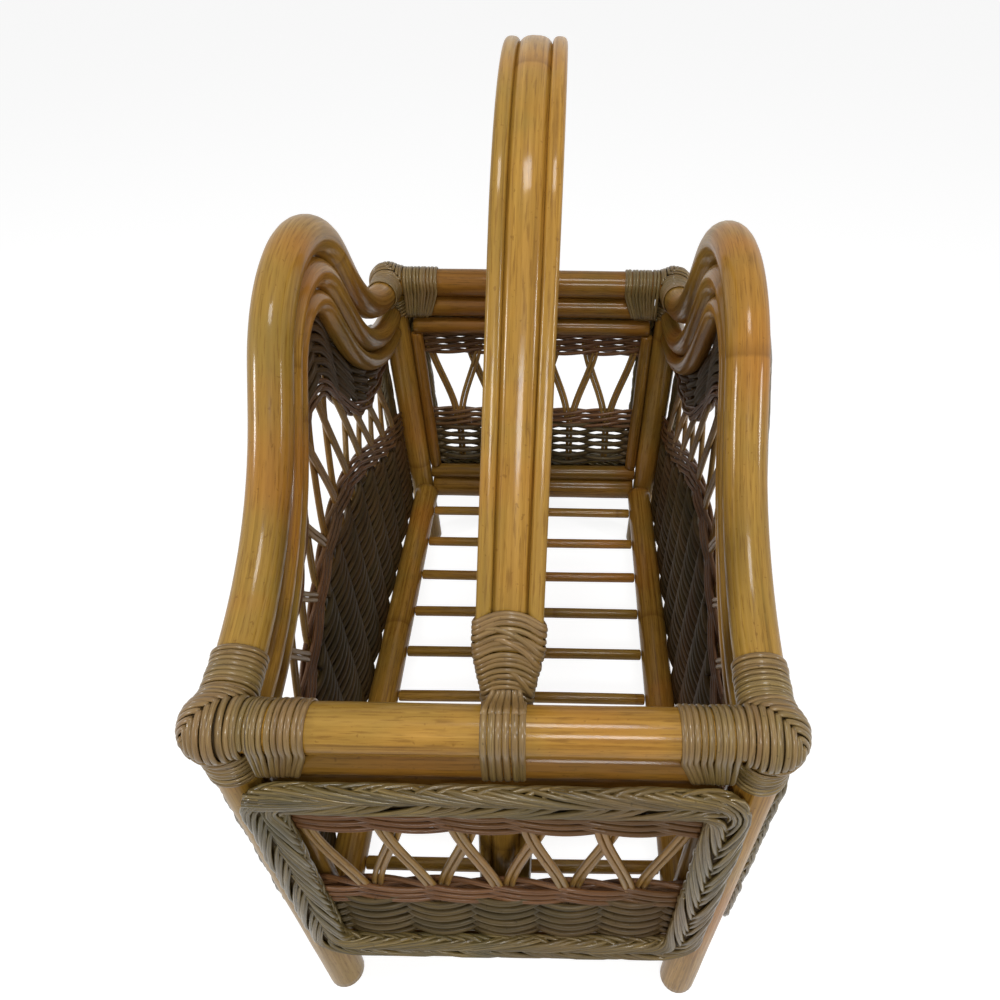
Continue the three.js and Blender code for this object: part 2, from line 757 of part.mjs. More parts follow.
function addSidePanels() {
  const rowBottom = (u) => highEdge(u) - upperRowHeight;
  const rowTop = (u) => lowEdge(u) + lowerRowHeight;
  const humpReach = (rimLength / Math.PI) * Math.acos(Math.sqrt(humpLeastShare));
  const hump = curvedStrip((u) => highEdge(u) + clearance, archUnderside, humpReach);
  const canes = latticeCanes({
    stakes: sideStakes,
    pitch: sideStakePitchShare * rimLength,
    lean: sideLeanShare,
    lower: (u) => lowEdge(u) + lowerRowHeight / 2,
    upper: (u) => highEdge(u) - upperRowHeight / 2,
    reach: sideHalfLength - latticeCaneWidth,
  });
  const lattice = joined([curvedStrip(lowEdge, rowTop), curvedStrip(rowBottom, highEdge), ...canes]);
  const pieces = [
    ["woven_band", sideBand(), "weave"],
    ["lattice", lattice, "lattice"],
    ["hump_band", hump, "weave"],
  ];
  for (const [name, geometry, finish] of pieces) {
    const placed = placedOnSide(geometry);
    addMesh(`left_${name}`, placed, finish, -1);
    addMesh(`right_${name}`, placed, finish);
  }
}

// Plaited borders lie outside the panels and cover their edges and half of each leg
function borderRing(path) {
  const half = borderThickness / 2;
  const section = [
    [-borderWidth / 2, 0],
    [-borderWidth / 4, -half],
    [borderWidth / 4, -half],
    [borderWidth / 2, 0],
    [borderWidth / 4, half],
    [-borderWidth / 4, half],
  ];
  const w = thickPole / 2 + clearance + half;
  const points = path.getPoints(borderCornerSteps).slice(0, -1);
  const stations = points.map(({ x, y }) => ({ point: vector(x, y, w), out: vector(0, 0, 1) }));
  return tubeGeometry(tubeRings(stations, section, true), true);
}

// Closed path up one leg, along the top, down the other leg and back, with rounded corners
function borderPath(bottom, legAxis, top) {
  const inner = (height) => legAxis(height) - borderInset;
  const rise = [bottom, bottom + borderCorner, top[0].y - borderCorner];
  const path = new THREE.Path().moveTo(0, bottom);
  path.lineTo(-inner(rise[0]) + borderCorner, rise[0]);
  path.quadraticCurveTo(-inner(rise[0]), rise[0], -inner(rise[1]), rise[1]);
  path.lineTo(-inner(rise[2]), rise[2]);
  path.quadraticCurveTo(-inner(top[0].y), top[0].y, top[0].x, top[0].y);
  for (const point of top.slice(1)) path.lineTo(point.x, point.y);
  path.quadraticCurveTo(inner(top[0].y), top[0].y, inner(rise[2]), rise[2]);
  path.lineTo(inner(rise[1]), rise[1]);
  path.quadraticCurveTo(inner(rise[0]), rise[0], inner(rise[0]) - borderCorner, rise[0]);
  return path.lineTo(0, bottom);
}

function addBorders() {
  const endBorderTop = rimHeight - endBorderDrop;
  const endReach = legX(endBorderTop) - borderInset - borderCorner;
  const endTop = [-endReach, endReach].map((u) => new THREE.Vector2(u, endBorderTop));
  const end = borderRing(borderPath(floorHeight + endBorderRise, legX, endTop)).applyMatrix4(endFrame);
  addMesh("front_border", end, "border", 1, -1);
  addMesh("back_border", end, "border");
  const sideReach = legY(rimHeight) - borderInset - borderCorner;
  const sideTop = stepShares.map((share) => {
    const u = sideReach * share;
    return new THREE.Vector2(u, innerArch.heightAt(u));
  });
  const side = placedOnSide(borderRing(borderPath(floorHeight + borderWidth / 2, legY, sideTop)));
  addMesh("left_border", side, "border", -1);
  addMesh("right_border", side, "border");
}

addLegs();
addArches();
addEndRails();
addFloor();
addUprights();
addHandle();
addCornerLashings();
addHandleLashings();
addEndPanels();
addSidePanels();
addBorders();

export default root;
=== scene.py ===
"""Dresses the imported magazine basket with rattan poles, cane lashings, woven panels and plaited borders.
Lengths are in millimetres until a mesh is made. The floor, the lamps and the camera are placed in metres.
Z is up, Y runs along the basket and X across it."""

import math
from functools import partial

import bpy
import numpy as np
from mathutils import Matrix


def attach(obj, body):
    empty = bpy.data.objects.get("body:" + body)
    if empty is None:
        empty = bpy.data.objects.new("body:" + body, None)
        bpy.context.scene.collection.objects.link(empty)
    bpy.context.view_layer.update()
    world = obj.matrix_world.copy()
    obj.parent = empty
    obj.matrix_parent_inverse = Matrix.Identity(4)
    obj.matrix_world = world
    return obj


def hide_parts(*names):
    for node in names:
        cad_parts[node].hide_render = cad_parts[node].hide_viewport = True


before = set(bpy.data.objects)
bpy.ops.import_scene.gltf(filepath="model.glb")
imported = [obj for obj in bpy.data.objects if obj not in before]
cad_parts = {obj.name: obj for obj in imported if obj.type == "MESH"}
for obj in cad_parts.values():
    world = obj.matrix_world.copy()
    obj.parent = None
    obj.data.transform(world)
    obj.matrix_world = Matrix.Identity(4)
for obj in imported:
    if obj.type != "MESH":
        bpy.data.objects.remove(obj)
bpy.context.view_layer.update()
MM = 0.001
rng = np.random.default_rng(11)

# The basket's ends and sides, each with its sign along Y or X
ENDS = (("front", -1), ("back", 1))
SIDES = (("left", -1), ("right", 1))

# Frame of the basket, as in its CAD source: places of pole axes, and pole diameters
RIM_WIDTH = 250.0
RIM_LENGTH = 452.0
FOOT_WIDTH = 230.0
FOOT_LENGTH = 444.0
RIM = 301.0
FLOOR = 73.0
THICK = 23.5
MIDDLE = 19.0
THIN = 14.5
UPRIGHT = 11.0
SLAT = 9.0
GRIP = 17.4
GRIP_SIDE = 6.6
GAP = 0.3
LASHING_ROOM = 2.6
NESTED_ROOM = 16.1
NESTED_END = RIM_LENGTH / 2 - NESTED_ROOM
LEAN_X = (RIM_WIDTH - FOOT_WIDTH) / 2 / RIM
LEAN_Y = (RIM_LENGTH - FOOT_LENGTH) / 2 / RIM
MIDDLE_DROP = (THICK + MIDDLE) / 2 + GAP
THIN_DROP = MIDDLE_DROP + (MIDDLE + THIN) / 2 + GAP
MIDDLE_RAIL = RIM - MIDDLE_DROP
THIN_RAIL = RIM - THIN_DROP - LASHING_ROOM
FLOOR_THIN = FLOOR + (THICK + THIN) / 2 + GAP
UPRIGHT_TOP = THIN_RAIL - THIN / 2 - GAP
UPRIGHT_BOTTOM = FLOOR_THIN + THIN / 2 + GAP
ARCH_RISE = 128.0
ARCH_RADIUS = 85.0
ARCH_ANGLE = math.radians(54)

# Panels, also as in the CAD source
STAKES_END = 5
STAKES_SIDE = 11
PITCH_END = 0.147 * RIM_WIDTH
PITCH_SIDE = 0.08 * RIM_LENGTH
SHIFT_END = 0.65 * PITCH_END
SHIFT_SIDE = 0.8 * PITCH_SIDE
BAND_TOP = FLOOR + 0.3465 * (RIM - FLOOR)
BAND_CROWN = 0.32 * (RIM - FLOOR)
HUMP_CROWN = 0.39 * ARCH_RISE
LOWER_ROW = 22.0
UPPER_ROW = 13.0


def leg_x(z):
    return FOOT_WIDTH / 2 + LEAN_X * z


def leg_y(z):
    return FOOT_LENGTH / 2 + LEAN_Y * z


def unit(v):
    return v / np.maximum(np.linalg.norm(v, axis=-1, keepdims=True), 1e-12)


def together(*values):
    return np.broadcast_arrays(*(np.asarray(a, float) for a in values))


def end_frame(sign, u, v, w):
    """Points of the front (-1) or back (1) panel, w outward from its plane of pole axes."""
    u, v, w = together(u, v, w)
    return np.stack([-u, sign * (FOOT_LENGTH / 2 + LEAN_Y * v + w), v], -1)


def side_frame(sign, u, v, w):
    """Points of the left (-1) or right (1) panel, w outward from its plane of pole axes."""
    u, v, w = together(u, v, w)
    return np.stack([sign * (leg_x(np.minimum(v, RIM)) + w), u, v], -1)


def outward(put):
    """Direction away from the basket on a panel."""
    return put(0, 0, 1) - put(0, 0, 0)


def sampled(at, places, values, **options):
    """Rows of two values each, interpolated between places."""
    return np.stack([np.interp(at, places, values[:, k], **options) for k in (0, 1)], -1)


# Meshes
END_STATIONS = np.array([0.0, 0.3, 1.0])
END_SCALES = np.array([0.55, 0.88, 1.0])
UV_START_RANGE = 3.0
UV_ROW_SPACING = 7.0
UV_ROWS = 900


def rounded_ends(points, out, tangent, scale, reach):
    """An open tube's stations with three narrowing ones in place of each end."""
    first = points[0] + np.outer(END_STATIONS, tangent[0]) * reach
    last = points[-1] - np.outer(END_STATIONS[::-1], tangent[-1]) * reach
    points = np.concatenate([first, points[1:-1], last])
    out, tangent = (np.concatenate([a[[0, 0, 0]], a[1:-1], a[[-1, -1, -1]]]) for a in (out, tangent))
    scale = np.concatenate([END_SCALES * scale[0], scale[1:-1], END_SCALES[::-1] * scale[-1]])
    return points, out, tangent, scale


class Strands:
    """Tubes of one material gathered into one mesh, with UV as length along and distance around in metres."""

    def __init__(self):
        self.verts, self.loops, self.sizes, self.uvs = [], [], [], []
        self.count = 0

    def tube(
        self, points, out, width, height=None, sides=8, closed=False,
        flat=1.0, scale=None, ends=0.0, square=1.0,
    ):
        """A tube along points, with its top facing out. flat is the share of height kept below its middle,
        scale a factor at each point, ends the length over which an open end is rounded off, and square the
        power that makes the section boxier the further it is below 1."""
        points = np.asarray(points, float)
        height = width if height is None else height
        out = np.broadcast_to(np.asarray(out, float), points.shape)
        scale = np.ones(len(points)) if scale is None else np.asarray(scale, float)
        if closed:
            tangent = unit(np.roll(points, -1, 0) - np.roll(points, 1, 0))
        else:
            tangent = unit(np.gradient(points, axis=0))
            if ends:
                points, out, tangent, scale = rounded_ends(points, out, tangent, scale, ends)
        side = unit(np.cross(tangent, out))
        up = np.cross(side, tangent)
        angle = 2 * np.pi * (np.arange(sides) + 0.5) / sides
        x, y = (np.sign(a) * np.abs(a) ** square for a in (np.cos(angle), np.sin(angle)))
        x, y = x * width / 2, np.where(y < 0, y * flat, y) * height / 2
        rings = (
            points[:, None]
            + side[:, None] * (x[None, :, None] * scale[:, None, None])
            + up[:, None] * (y[None, :, None] * scale[:, None, None])
        )
        self.add_skin(points, sides, closed, width + height)
        self.verts.append(rings.reshape(-1, 3))
        self.count += len(points) * sides

    def add_skin(self, points, sides, closed, size):
        """Faces between rings and on open ends, with a UV strip of their own. size is width plus height."""
        n = len(points)
        ring = np.arange(n if closed else n - 1)[:, None]
        corner = np.arange(sides)[None, :]
        next_ring, next_corner = (ring + 1) % n, (corner + 1) % sides
        around_quad = ((ring, corner), (next_ring, corner), (next_ring, next_corner), (ring, next_corner))
        quads = np.stack([r * sides + c for r, c in around_quad], -1).reshape(-1, 4)
        self.loops.append((quads + self.count).ravel())
        self.sizes.append(np.full(len(quads), 4))

        step = np.linalg.norm(np.diff(points, axis=0, append=points[:1]), axis=1)
        along = np.concatenate([[0], np.cumsum(step)]) * MM + rng.uniform(0, UV_START_RANGE)
        turn = np.arange(sides + 1) / sides
        around = turn * np.pi * size / 2 * MM + UV_ROW_SPACING * rng.integers(1, UV_ROWS)
        shape = (len(ring), sides)
        u = np.broadcast_to(along[: len(ring), None], shape)
        next_u = np.broadcast_to(along[1 : len(ring) + 1, None], shape)
        v = np.broadcast_to(around[None, :-1], shape)
        next_v = np.broadcast_to(around[None, 1:], shape)
        around_uv = ((u, v), (next_u, v), (next_u, next_v), (u, next_v))
        uv = np.stack([np.stack(pair, -1) for pair in around_uv], 2)
        self.uvs.append(uv.reshape(-1, 2))
        if closed:
            return
        cap = np.arange(sides)
        for end, order in ((0, cap), (n - 1, cap[::-1])):
            self.loops.append(self.count + end * sides + order)
            self.sizes.append(np.array([sides]))
            self.uvs.append(np.stack([np.full(sides, along[end]), around[order]], -1))

    def build(self, name, material, slot, *nodes):
        """Makes the mesh, rides it on the root body and lets it stand for the nodes."""
        mesh = bpy.data.meshes.new(name)
        verts, loops = np.concatenate(self.verts) * MM, np.concatenate(self.loops)
        sizes, uvs = np.concatenate(self.sizes), np.concatenate(self.uvs)
        starts = np.concatenate([[0], np.cumsum(sizes)[:-1]])
        mesh.vertices.add(len(verts))
        mesh.vertices.foreach_set("co", verts.astype(np.float32).ravel())
        mesh.loops.add(len(loops))
        mesh.loops.foreach_set("vertex_index", loops.astype(np.int32))
        mesh.polygons.add(len(sizes))
        mesh.polygons.foreach_set("loop_start", starts.astype(np.int32))
        mesh.polygons.foreach_set("use_smooth", np.ones(len(sizes), bool))
        mesh.uv_layers.new(name="UVMap").data.foreach_set("uv", uvs.astype(np.float32).ravel())
        mesh.update(calc_edges=True)
        mesh.validate()
        mesh.materials.append(material)
        piece = bpy.data.objects.new(name, mesh)
        bpy.context.scene.collection.objects.link(piece)
        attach(piece, "root")
        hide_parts(*nodes)


# Paths
LEAST_STEPS = 4


def rounded_path(corners, radii, spacing=4.0):
    """Points of straight runs through corners, all but the first and last rounded with their radii."""
    corners = [np.asarray(c, float) for c in corners]
    points = [corners[0]]

    def run_to(target):
        start = points[-1]
        count = max(1, int(np.linalg.norm(target - start) / spacing))
        points.extend(start + (target - start) * (k + 1) / count for k in range(count))

    for before, corner, after, radius in zip(corners, corners[1:], corners[2:], radii):
        a, b = unit(corner - before), unit(after - corner)
        turn = math.atan2(a[0] * b[1] - a[1] * b[0], a @ b)
        start = corner - a * radius * math.tan(abs(turn) / 2)
        run_to(start)
        centre = start + np.array([-a[1], a[0]]) * math.copysign(radius, turn)
        arm = start - centre
        steps = max(LEAST_STEPS, int(radius * abs(turn) / spacing))
        for k in range(1, steps + 1):
            c, s = math.cos(turn * k / steps), math.sin(turn * k / steps)
            points.append(centre + np.array([c * arm[0] - s * arm[1], s * arm[0] + c * arm[1]]))
    run_to(corners[-1])
    return np.array(points)


def rounded_loop(corners, radii, spacing=3.0):
    """A closed path through corners, each rounded with its radius."""
    middle = (np.asarray(corners[0], float) + np.asarray(corners[-1], float)) / 2
    return rounded_path([middle, *corners, middle], radii, spacing)[:-1]


def along_path(points):
    """Distance along a polyline at each of its points."""
    return np.concatenate([[0], np.cumsum(np.linalg.norm(np.diff(points, axis=0), axis=1))])


def straight(start, end, spacing=6.0):
    start, end = np.asarray(start, float), np.asarray(end, float)
    count = max(LEAST_STEPS, int(np.linalg.norm(end - start) / spacing))
    return start + (end - start) * np.linspace(0, 1, count + 1)[:, None]


# Materials
STREAKS_ALONG = 8.0
FINE_ALONG = 60.0
FINE_GRAIN = 2.4
STRAND_PLACE = (1.3, 6.0, 1.0)
BLOTCH_SCALE = 13.0
PATCH_SCALE = 7.0
SPECK_SCALE = 420.0
RINGS_PER_METRE = 2.3
BUMP_DISTANCE = 0.0007
COAT_ROUGHNESS = 0.13


def linear(rgb):
    """Linear colour of an sRGB colour with values up to 255."""
    return tuple(((c / 255 + 0.055) / 1.055) ** 2.4 if c > 10 else c / 255 / 12.92 for c in rgb) + (1.0,)


class Shader:
    """The emptied node tree of a material or world, and short ways to add nodes to it."""

    def __init__(self, owner):
        owner.use_nodes = True
        self.tree = owner.node_tree
        self.tree.nodes.clear()

    def node(self, kind, inputs=(), **settings):
        """A node with settings, each of its inputs linked from a socket or set to a value."""
        node = self.tree.nodes.new(kind)
        for key, value in settings.items():
            setattr(node, key, value)
        for key, value in dict(inputs).items():
            if isinstance(value, bpy.types.NodeSocket):
                self.tree.links.new(value, node.inputs[key])
            else:
                node.inputs[key].default_value = value
        return node

    def math(self, operation, *values):
        return self.node("ShaderNodeMath", enumerate(values), operation=operation).outputs[0]

    def noise(self, vector, scale, place=(1, 1, 1), detail=3.0, rough=0.55, distortion=0.0):
        mapping = self.node("ShaderNodeMapping", {"Vector": vector, "Scale": place})
        values = {"Vector": mapping.outputs[0], "Scale": scale, "Detail": detail, "Roughness": rough}
        return self.node("ShaderNodeTexNoise", {**values, "Distortion": distortion}).outputs["Fac"]

    def ramp(self, value, *stops):
        """A colour ramp with stops of (place, colour) or (place, grey)."""
        node = self.node("ShaderNodeValToRGB", {"Fac": value})
        elements = node.color_ramp.elements
        while len(elements) < len(stops):
            elements.new(0.5)
        for element, (place, colour) in zip(elements, stops):
            element.position = place
            element.color = colour if hasattr(colour, "__len__") else (colour, colour, colour, 1)
        return node.outputs["Color"]

    def mix(self, factor, a, b):
        return self.node("ShaderNodeMix", {0: factor, 6: a, 7: b}, data_type="RGBA").outputs[2]


def rattan(
    name, light, middle, dark, tint, other, grain, roughness, gloss, coat=0.15, bump=0.3, rings=False
):
    """Varnished rattan or cane: streaks along each strand, a tone of its own for each, blotches and pores."""
    light, middle, dark, tint, other = (linear(rgb) for rgb in (light, middle, dark, tint, other))
    material = bpy.data.materials.new(name)
    s = Shader(material)
    uv = s.node("ShaderNodeUVMap", uv_map="UVMap").outputs[0]
    place = s.node("ShaderNodeTexCoord").outputs["Object"]
    streaks = s.noise(uv, 1.0, (STREAKS_ALONG, grain, 1.0), detail=4.0, rough=0.62)
    fine = s.noise(uv, 1.0, (FINE_ALONG, grain * FINE_GRAIN, 1.0), detail=2.0)
    strand = s.noise(uv, 1.0, STRAND_PLACE, detail=1.0)
    blotch = s.noise(place, BLOTCH_SCALE, detail=3.0, rough=0.6, distortion=0.8)
    patch = s.noise(place, PATCH_SCALE, (1.0, 1.3, 0.8), detail=2.0, distortion=0.5)
    speck = s.noise(place, SPECK_SCALE, detail=1.0)
    base = s.ramp(streaks, (0.28, dark), (0.47, middle), (0.72, light))
    base = s.mix(s.ramp(strand, (0.40, 0.0), (0.64, 0.55)), base, tint)
    base = s.mix(s.ramp(blotch, (0.46, 0.0), (0.68, 0.6)), base, tint)
    base = s.mix(s.ramp(patch, (0.50, 0.0), (0.68, 0.6)), base, other)
    base = s.mix(s.ramp(fine, (0.34, 0.5), (0.46, 0.0)), base, dark)
    base = s.mix(s.ramp(speck, (0.70, 0.0), (0.76, 0.45)), base, dark)
    if rings:
        along = s.node("ShaderNodeSeparateXYZ", {"Vector": uv}).outputs["X"]
        share = s.math("FRACT", s.math("MULTIPLY", along, RINGS_PER_METRE))
        base = s.mix(s.ramp(share, (0.0, 0.0), (0.003, 0.5), (0.006, 0.4), (0.02, 0.0)), base, dark)
    height = s.mix(0.5, streaks, fine)
    normal = s.node("ShaderNodeBump", {"Height": height, "Strength": bump, "Distance": BUMP_DISTANCE})
    rough = s.ramp(streaks, (0.3, roughness + 0.1), (0.7, roughness - 0.06))
    finish = {"Roughness": rough, "Normal": normal.outputs[0], "Specular IOR Level": gloss}
    coating = {"Coat Weight": coat, "Coat Roughness": COAT_ROUGHNESS}
    shader = s.node("ShaderNodeBsdfPrincipled", {"Base Color": base, **finish, **coating})
    s.node("ShaderNodeOutputMaterial", {"Surface": shader.outputs[0]})
    return material


# Colours in sRGB: light, middle and dark streaks, strands and blotches of a tint, patches of another tone
POLE = rattan(
    "varnished_pole", (200, 152, 70), (168, 122, 46), (112, 74, 22), (150, 122, 54), (184, 116, 42),
    grain=420.0, roughness=0.42, gloss=0.08, coat=0.3, bump=0.2, rings=True,
)
# A darker pole for the back top rail, the middle and bottom rails, the floor end rails and the uprights. Its
# darkness is painted shade, for the shade on these lower and far parts.
SHADED_POLE = rattan(
    "painted_shade_pole", (164, 120, 52), (136, 96, 34), (88, 57, 16), (120, 95, 40), (150, 91, 31),
    grain=420.0, roughness=0.44, gloss=0.06, coat=0.24, bump=0.2, rings=True,
)
CANE = rattan(
    "lashing_cane", (166, 142, 88), (124, 102, 58), (54, 38, 18), (142, 110, 70), (104, 92, 54),
    grain=1500.0, roughness=0.34, gloss=0.2, coat=0.3,
)
BORDER = rattan(
    "border_cane", (162, 138, 82), (106, 88, 48), (36, 26, 10), (78, 72, 44), (120, 92, 56),
    grain=1300.0, roughness=0.36, gloss=0.2, coat=0.3,
)
LATTICE = rattan(
    "lattice_cane", (186, 148, 84), (152, 114, 56), (88, 58, 22), (126, 98, 48), (164, 114, 54),
    grain=1200.0, roughness=0.4, gloss=0.25,
)
ROW = rattan(
    "twined_cane", (144, 98, 56), (104, 68, 38), (44, 25, 10), (122, 84, 50), (92, 72, 40),
    grain=1300.0, roughness=0.44, gloss=0.2,
)
WEAVE = rattan(
    "woven_cane", (128, 106, 66), (88, 72, 42), (34, 24, 10), (72, 62, 38), (98, 70, 42),
    grain=1300.0, roughness=0.46, gloss=0.2, coat=0.05,
)
# A darker cane for the side panels' woven bands: partly a darker tone of the cane, partly painted shade of
# the basket's inside.
DARK_WEAVE = rattan(
    "dark_woven_cane", (106, 82, 46), (76, 56, 28), (32, 20, 8), (64, 56, 30), (92, 60, 32),
    grain=1300.0, roughness=0.5, gloss=0.15, coat=0.03,
)
# Dark cane for the cores under the corner balls and the plaited borders, which show only in the gaps between
# the canes: painted shade.
CORE = rattan(
    "shaded_cane", (70, 54, 30), (50, 36, 18), (24, 15, 6), (58, 46, 24), (46, 34, 18),
    grain=900.0, roughness=0.6, gloss=0.1, coat=0.0,
)

# Poles
POLE_SIDES = 24
SLAT_SIDES = 16
POLE_ROUNDING = 1.2
LEG_ROUNDING = 0.7
LEG_FOOT = 0.3
CORNER_INSET = THICK / 2 * 0.6
ARCH_END = 5.0
SLATS = 9
SLAT_BOW = 0.6


def waviness(n, amount=0.012):
    """Slight change of a pole's thickness along its length."""
    t = np.linspace(0, 1, n)
    return 1 + amount * sum(np.sin(2 * np.pi * (k * t + rng.uniform())) / k for k in (2, 3, 5))


def pole(node, points, out, diameter, material=POLE, sides=POLE_SIDES, ends=POLE_ROUNDING):
    strands = Strands()
    strands.tube(points, out, diameter, sides=sides, scale=waviness(len(points)), ends=ends)
    strands.build(f"{node}_pole", material, "rattan_pole", node)


def bell_arch(drop, dip, end):
    """Outline of an arch pole in a side panel's plane."""
    level = RIM - drop - dip
    bend_end = min(RIM_LENGTH / 2, end)
    peak = RIM + ARCH_RISE
    flank = math.cos(ARCH_ANGLE) * (peak - ARCH_RADIUS) + ARCH_RADIUS - drop
    corner = (flank - math.cos(ARCH_ANGLE) * level) / math.sin(ARCH_ANGLE)
    foot = (bend_end - corner) / math.tan(ARCH_ANGLE / 2)
    top = ARCH_RADIUS - drop
    apex = (0.0, flank / math.cos(ARCH_ANGLE))
    corners = [(-end, level), (-corner, level), apex, (corner, level), (end, level)]
    return rounded_path(corners, [foot, top, foot])


OUTER_ARCH = bell_arch(0, 0, RIM_LENGTH / 2 + ARCH_END)
MIDDLE_ARCH = bell_arch(MIDDLE_DROP, LASHING_ROOM, NESTED_END)
INNER_ARCH = bell_arch(THIN_DROP, LASHING_ROOM, NESTED_END)


def inner_height(u):
    return np.interp(u, INNER_ARCH[:, 0], INNER_ARCH[:, 1])


def make_arches():
    arches = (("outer", OUTER_ARCH, THICK), ("middle", MIDDLE_ARCH, MIDDLE), ("inner", INNER_ARCH, THIN))
    for side, sign in SIDES:
        for name, path, diameter in arches:
            points = side_frame(sign, path[:, 0], path[:, 1], 0)
            pole(f"{side}_arch_{name}", points, (sign, 0, 0), diameter)


def make_end_rails(end, sign):
    """The three rails of an end panel, and the two that close its foot."""
    # The back top rail, the middle and bottom rails and the two foot rails take the darker pole with painted
    # shade.
    rails = (
        ("rail_top", RIM, THICK, RIM_WIDTH / 2 - CORNER_INSET, POLE if end == "front" else SHADED_POLE),
        ("rail_middle", MIDDLE_RAIL, MIDDLE, leg_x(MIDDLE_RAIL) - NESTED_ROOM, SHADED_POLE),
        ("rail_bottom", THIN_RAIL, THIN, leg_x(THIN_RAIL) - NESTED_ROOM, SHADED_POLE),
    )
    for name, z, diameter, half, material in rails:
        points = end_frame(sign, np.linspace(-half, half, 40), z, 0)
        pole(f"{end}_{name}", points, (0, 0, 1), diameter, material)
    for name, z, diameter in (("lower", FLOOR, THICK), ("upper", FLOOR_THIN, THIN)):
        half = leg_x(z - diameter / 2) - THICK / 2 - GAP
        points = end_frame(sign, np.linspace(-half, half, 36), z, 0)
        pole(f"floor_end_rail_{end}_{name}", points, (0, 0, 1), diameter, SHADED_POLE)


def make_posts(end, sign):
    """The legs at one end, each with the upright beside it."""
    top = RIM - CORNER_INSET
    for side, way in SIDES:
        foot = [way * leg_x(LEG_FOOT), sign * leg_y(LEG_FOOT), LEG_FOOT]
        head = [way * leg_x(top), sign * leg_y(top), top]
        pole(f"leg_{end}_{side}", straight(foot, head), (way, 0, 0), THICK, ends=LEG_ROUNDING)
        z = np.linspace(UPRIGHT_BOTTOM, UPRIGHT_TOP, 24)
        x = leg_x(z) - (THICK + UPRIGHT) / 2 - GAP
        # The upright takes the darker pole with painted shade.
        pole(f"upright_{end}_{side}", end_frame(sign, -way * x, z, 0), (0, 1, 0), UPRIGHT, SHADED_POLE)


def make_floor_poles():
    rail_x = leg_x(FLOOR) - THICK / 2 + UPRIGHT / 2
    rail_end = leg_y(FLOOR - THICK / 2) - THICK / 2 - GAP
    for side, way in SIDES:
        points = straight([way * rail_x, -rail_end, FLOOR], [way * rail_x, rail_end, FLOOR])
        pole(f"floor_rail_{side}", points, (0, 0, 1), THICK)
    reach = rail_x - THICK / 2 - GAP
    for slat in range(SLATS):
        y = (slat - (SLATS - 1) / 2) * RIM_LENGTH / (SLATS + 1)
        bow = rng.uniform(-SLAT_BOW, SLAT_BOW)
        points = straight([-reach, y, FLOOR], [reach, y, FLOOR])
        points[:, 1] += bow * np.sin(np.linspace(0, np.pi, len(points)))
        pole(f"floor_slat_{slat + 1}", points, (0, 0, 1), SLAT, sides=SLAT_SIDES)


# Handle
GRIP_SHIFT = 4.5
GRIP_LEAN = math.radians(2)
GRIP_OUTSET = 2.8
GRIP_Y = leg_y(FLOOR) - THICK / 2 - GAP - GRIP / 2
GRIP_SIDEWAYS = math.sqrt(((GRIP + GRIP_SIDE) / 2 + GAP) ** 2 - GRIP_OUTSET**2)
GRIP_ANGLE = math.radians(57.8)
GRIP_TOP_RADIUS = 114.0
GRIP_FOOT_RADIUS = 100.0
GRIP_PEAK = 525.0
OVERHANG = 11.0
GRIP_APEX = GRIP_PEAK + GRIP_TOP_RADIUS * (1 / math.cos(GRIP_ANGLE) - 1)
GRIP_CORNER = GRIP_APEX - GRIP_Y * math.tan(GRIP_ANGLE)
GRIP_FRONT = [(-GRIP_Y, FLOOR - OVERHANG), (-GRIP_Y, GRIP_CORNER)]
GRIP_BACK = [(GRIP_Y, GRIP_CORNER), (GRIP_Y, FLOOR - OVERHANG)]
GRIP_RADII = [GRIP_FOOT_RADIUS, GRIP_TOP_RADIUS, GRIP_FOOT_RADIUS]
GRIP_PATH = rounded_path([*GRIP_FRONT, (0, GRIP_APEX), *GRIP_BACK], GRIP_RADII)
GRIP_LENGTHS = along_path(GRIP_PATH)
GRIP_LENGTH = GRIP_LENGTHS[-1]
GRIP_TANGENTS = unit(np.gradient(GRIP_PATH, axis=0))
GRIP_RIM = RIM - FLOOR + OVERHANG
GRIP_SIZE = (17.8, 16.6)
GRIP_SIDE_SIZE = (7.6, 8.6)
GRIP_SIDE_OUT = 3.6
GRIP_SQUARE = 0.72
PINCH = 0.27
PINCH_TOP = 20.0
PINCH_TOP_RUN = 22.0
PINCH_FOOT = 32.0
PINCH_FOOT_RUN = 20.0


def grip_place(s, x, y):
    """A point at distance s along the handle, x sideways and y outward from its middle line."""
    p = sampled(s, GRIP_LENGTHS, GRIP_PATH)
    t = unit(sampled(s, GRIP_LENGTHS, GRIP_TANGENTS))
    z = p[..., 1] + t[..., 0] * y
    return np.stack([GRIP_SHIFT + x + math.tan(GRIP_LEAN) * (z - RIM), p[..., 0] - t[..., 1] * y, z], -1)


def pinch(s):
    """How far the side poles and the wrap draw in near the rail, as a factor on the distance sideways."""
    above = s - GRIP_RIM
    fading = np.clip((PINCH_TOP - above) / PINCH_TOP_RUN, 0, 1)
    rising = np.clip((above + PINCH_FOOT) / PINCH_FOOT_RUN, 0, 1)
    return 1 - PINCH * fading * rising


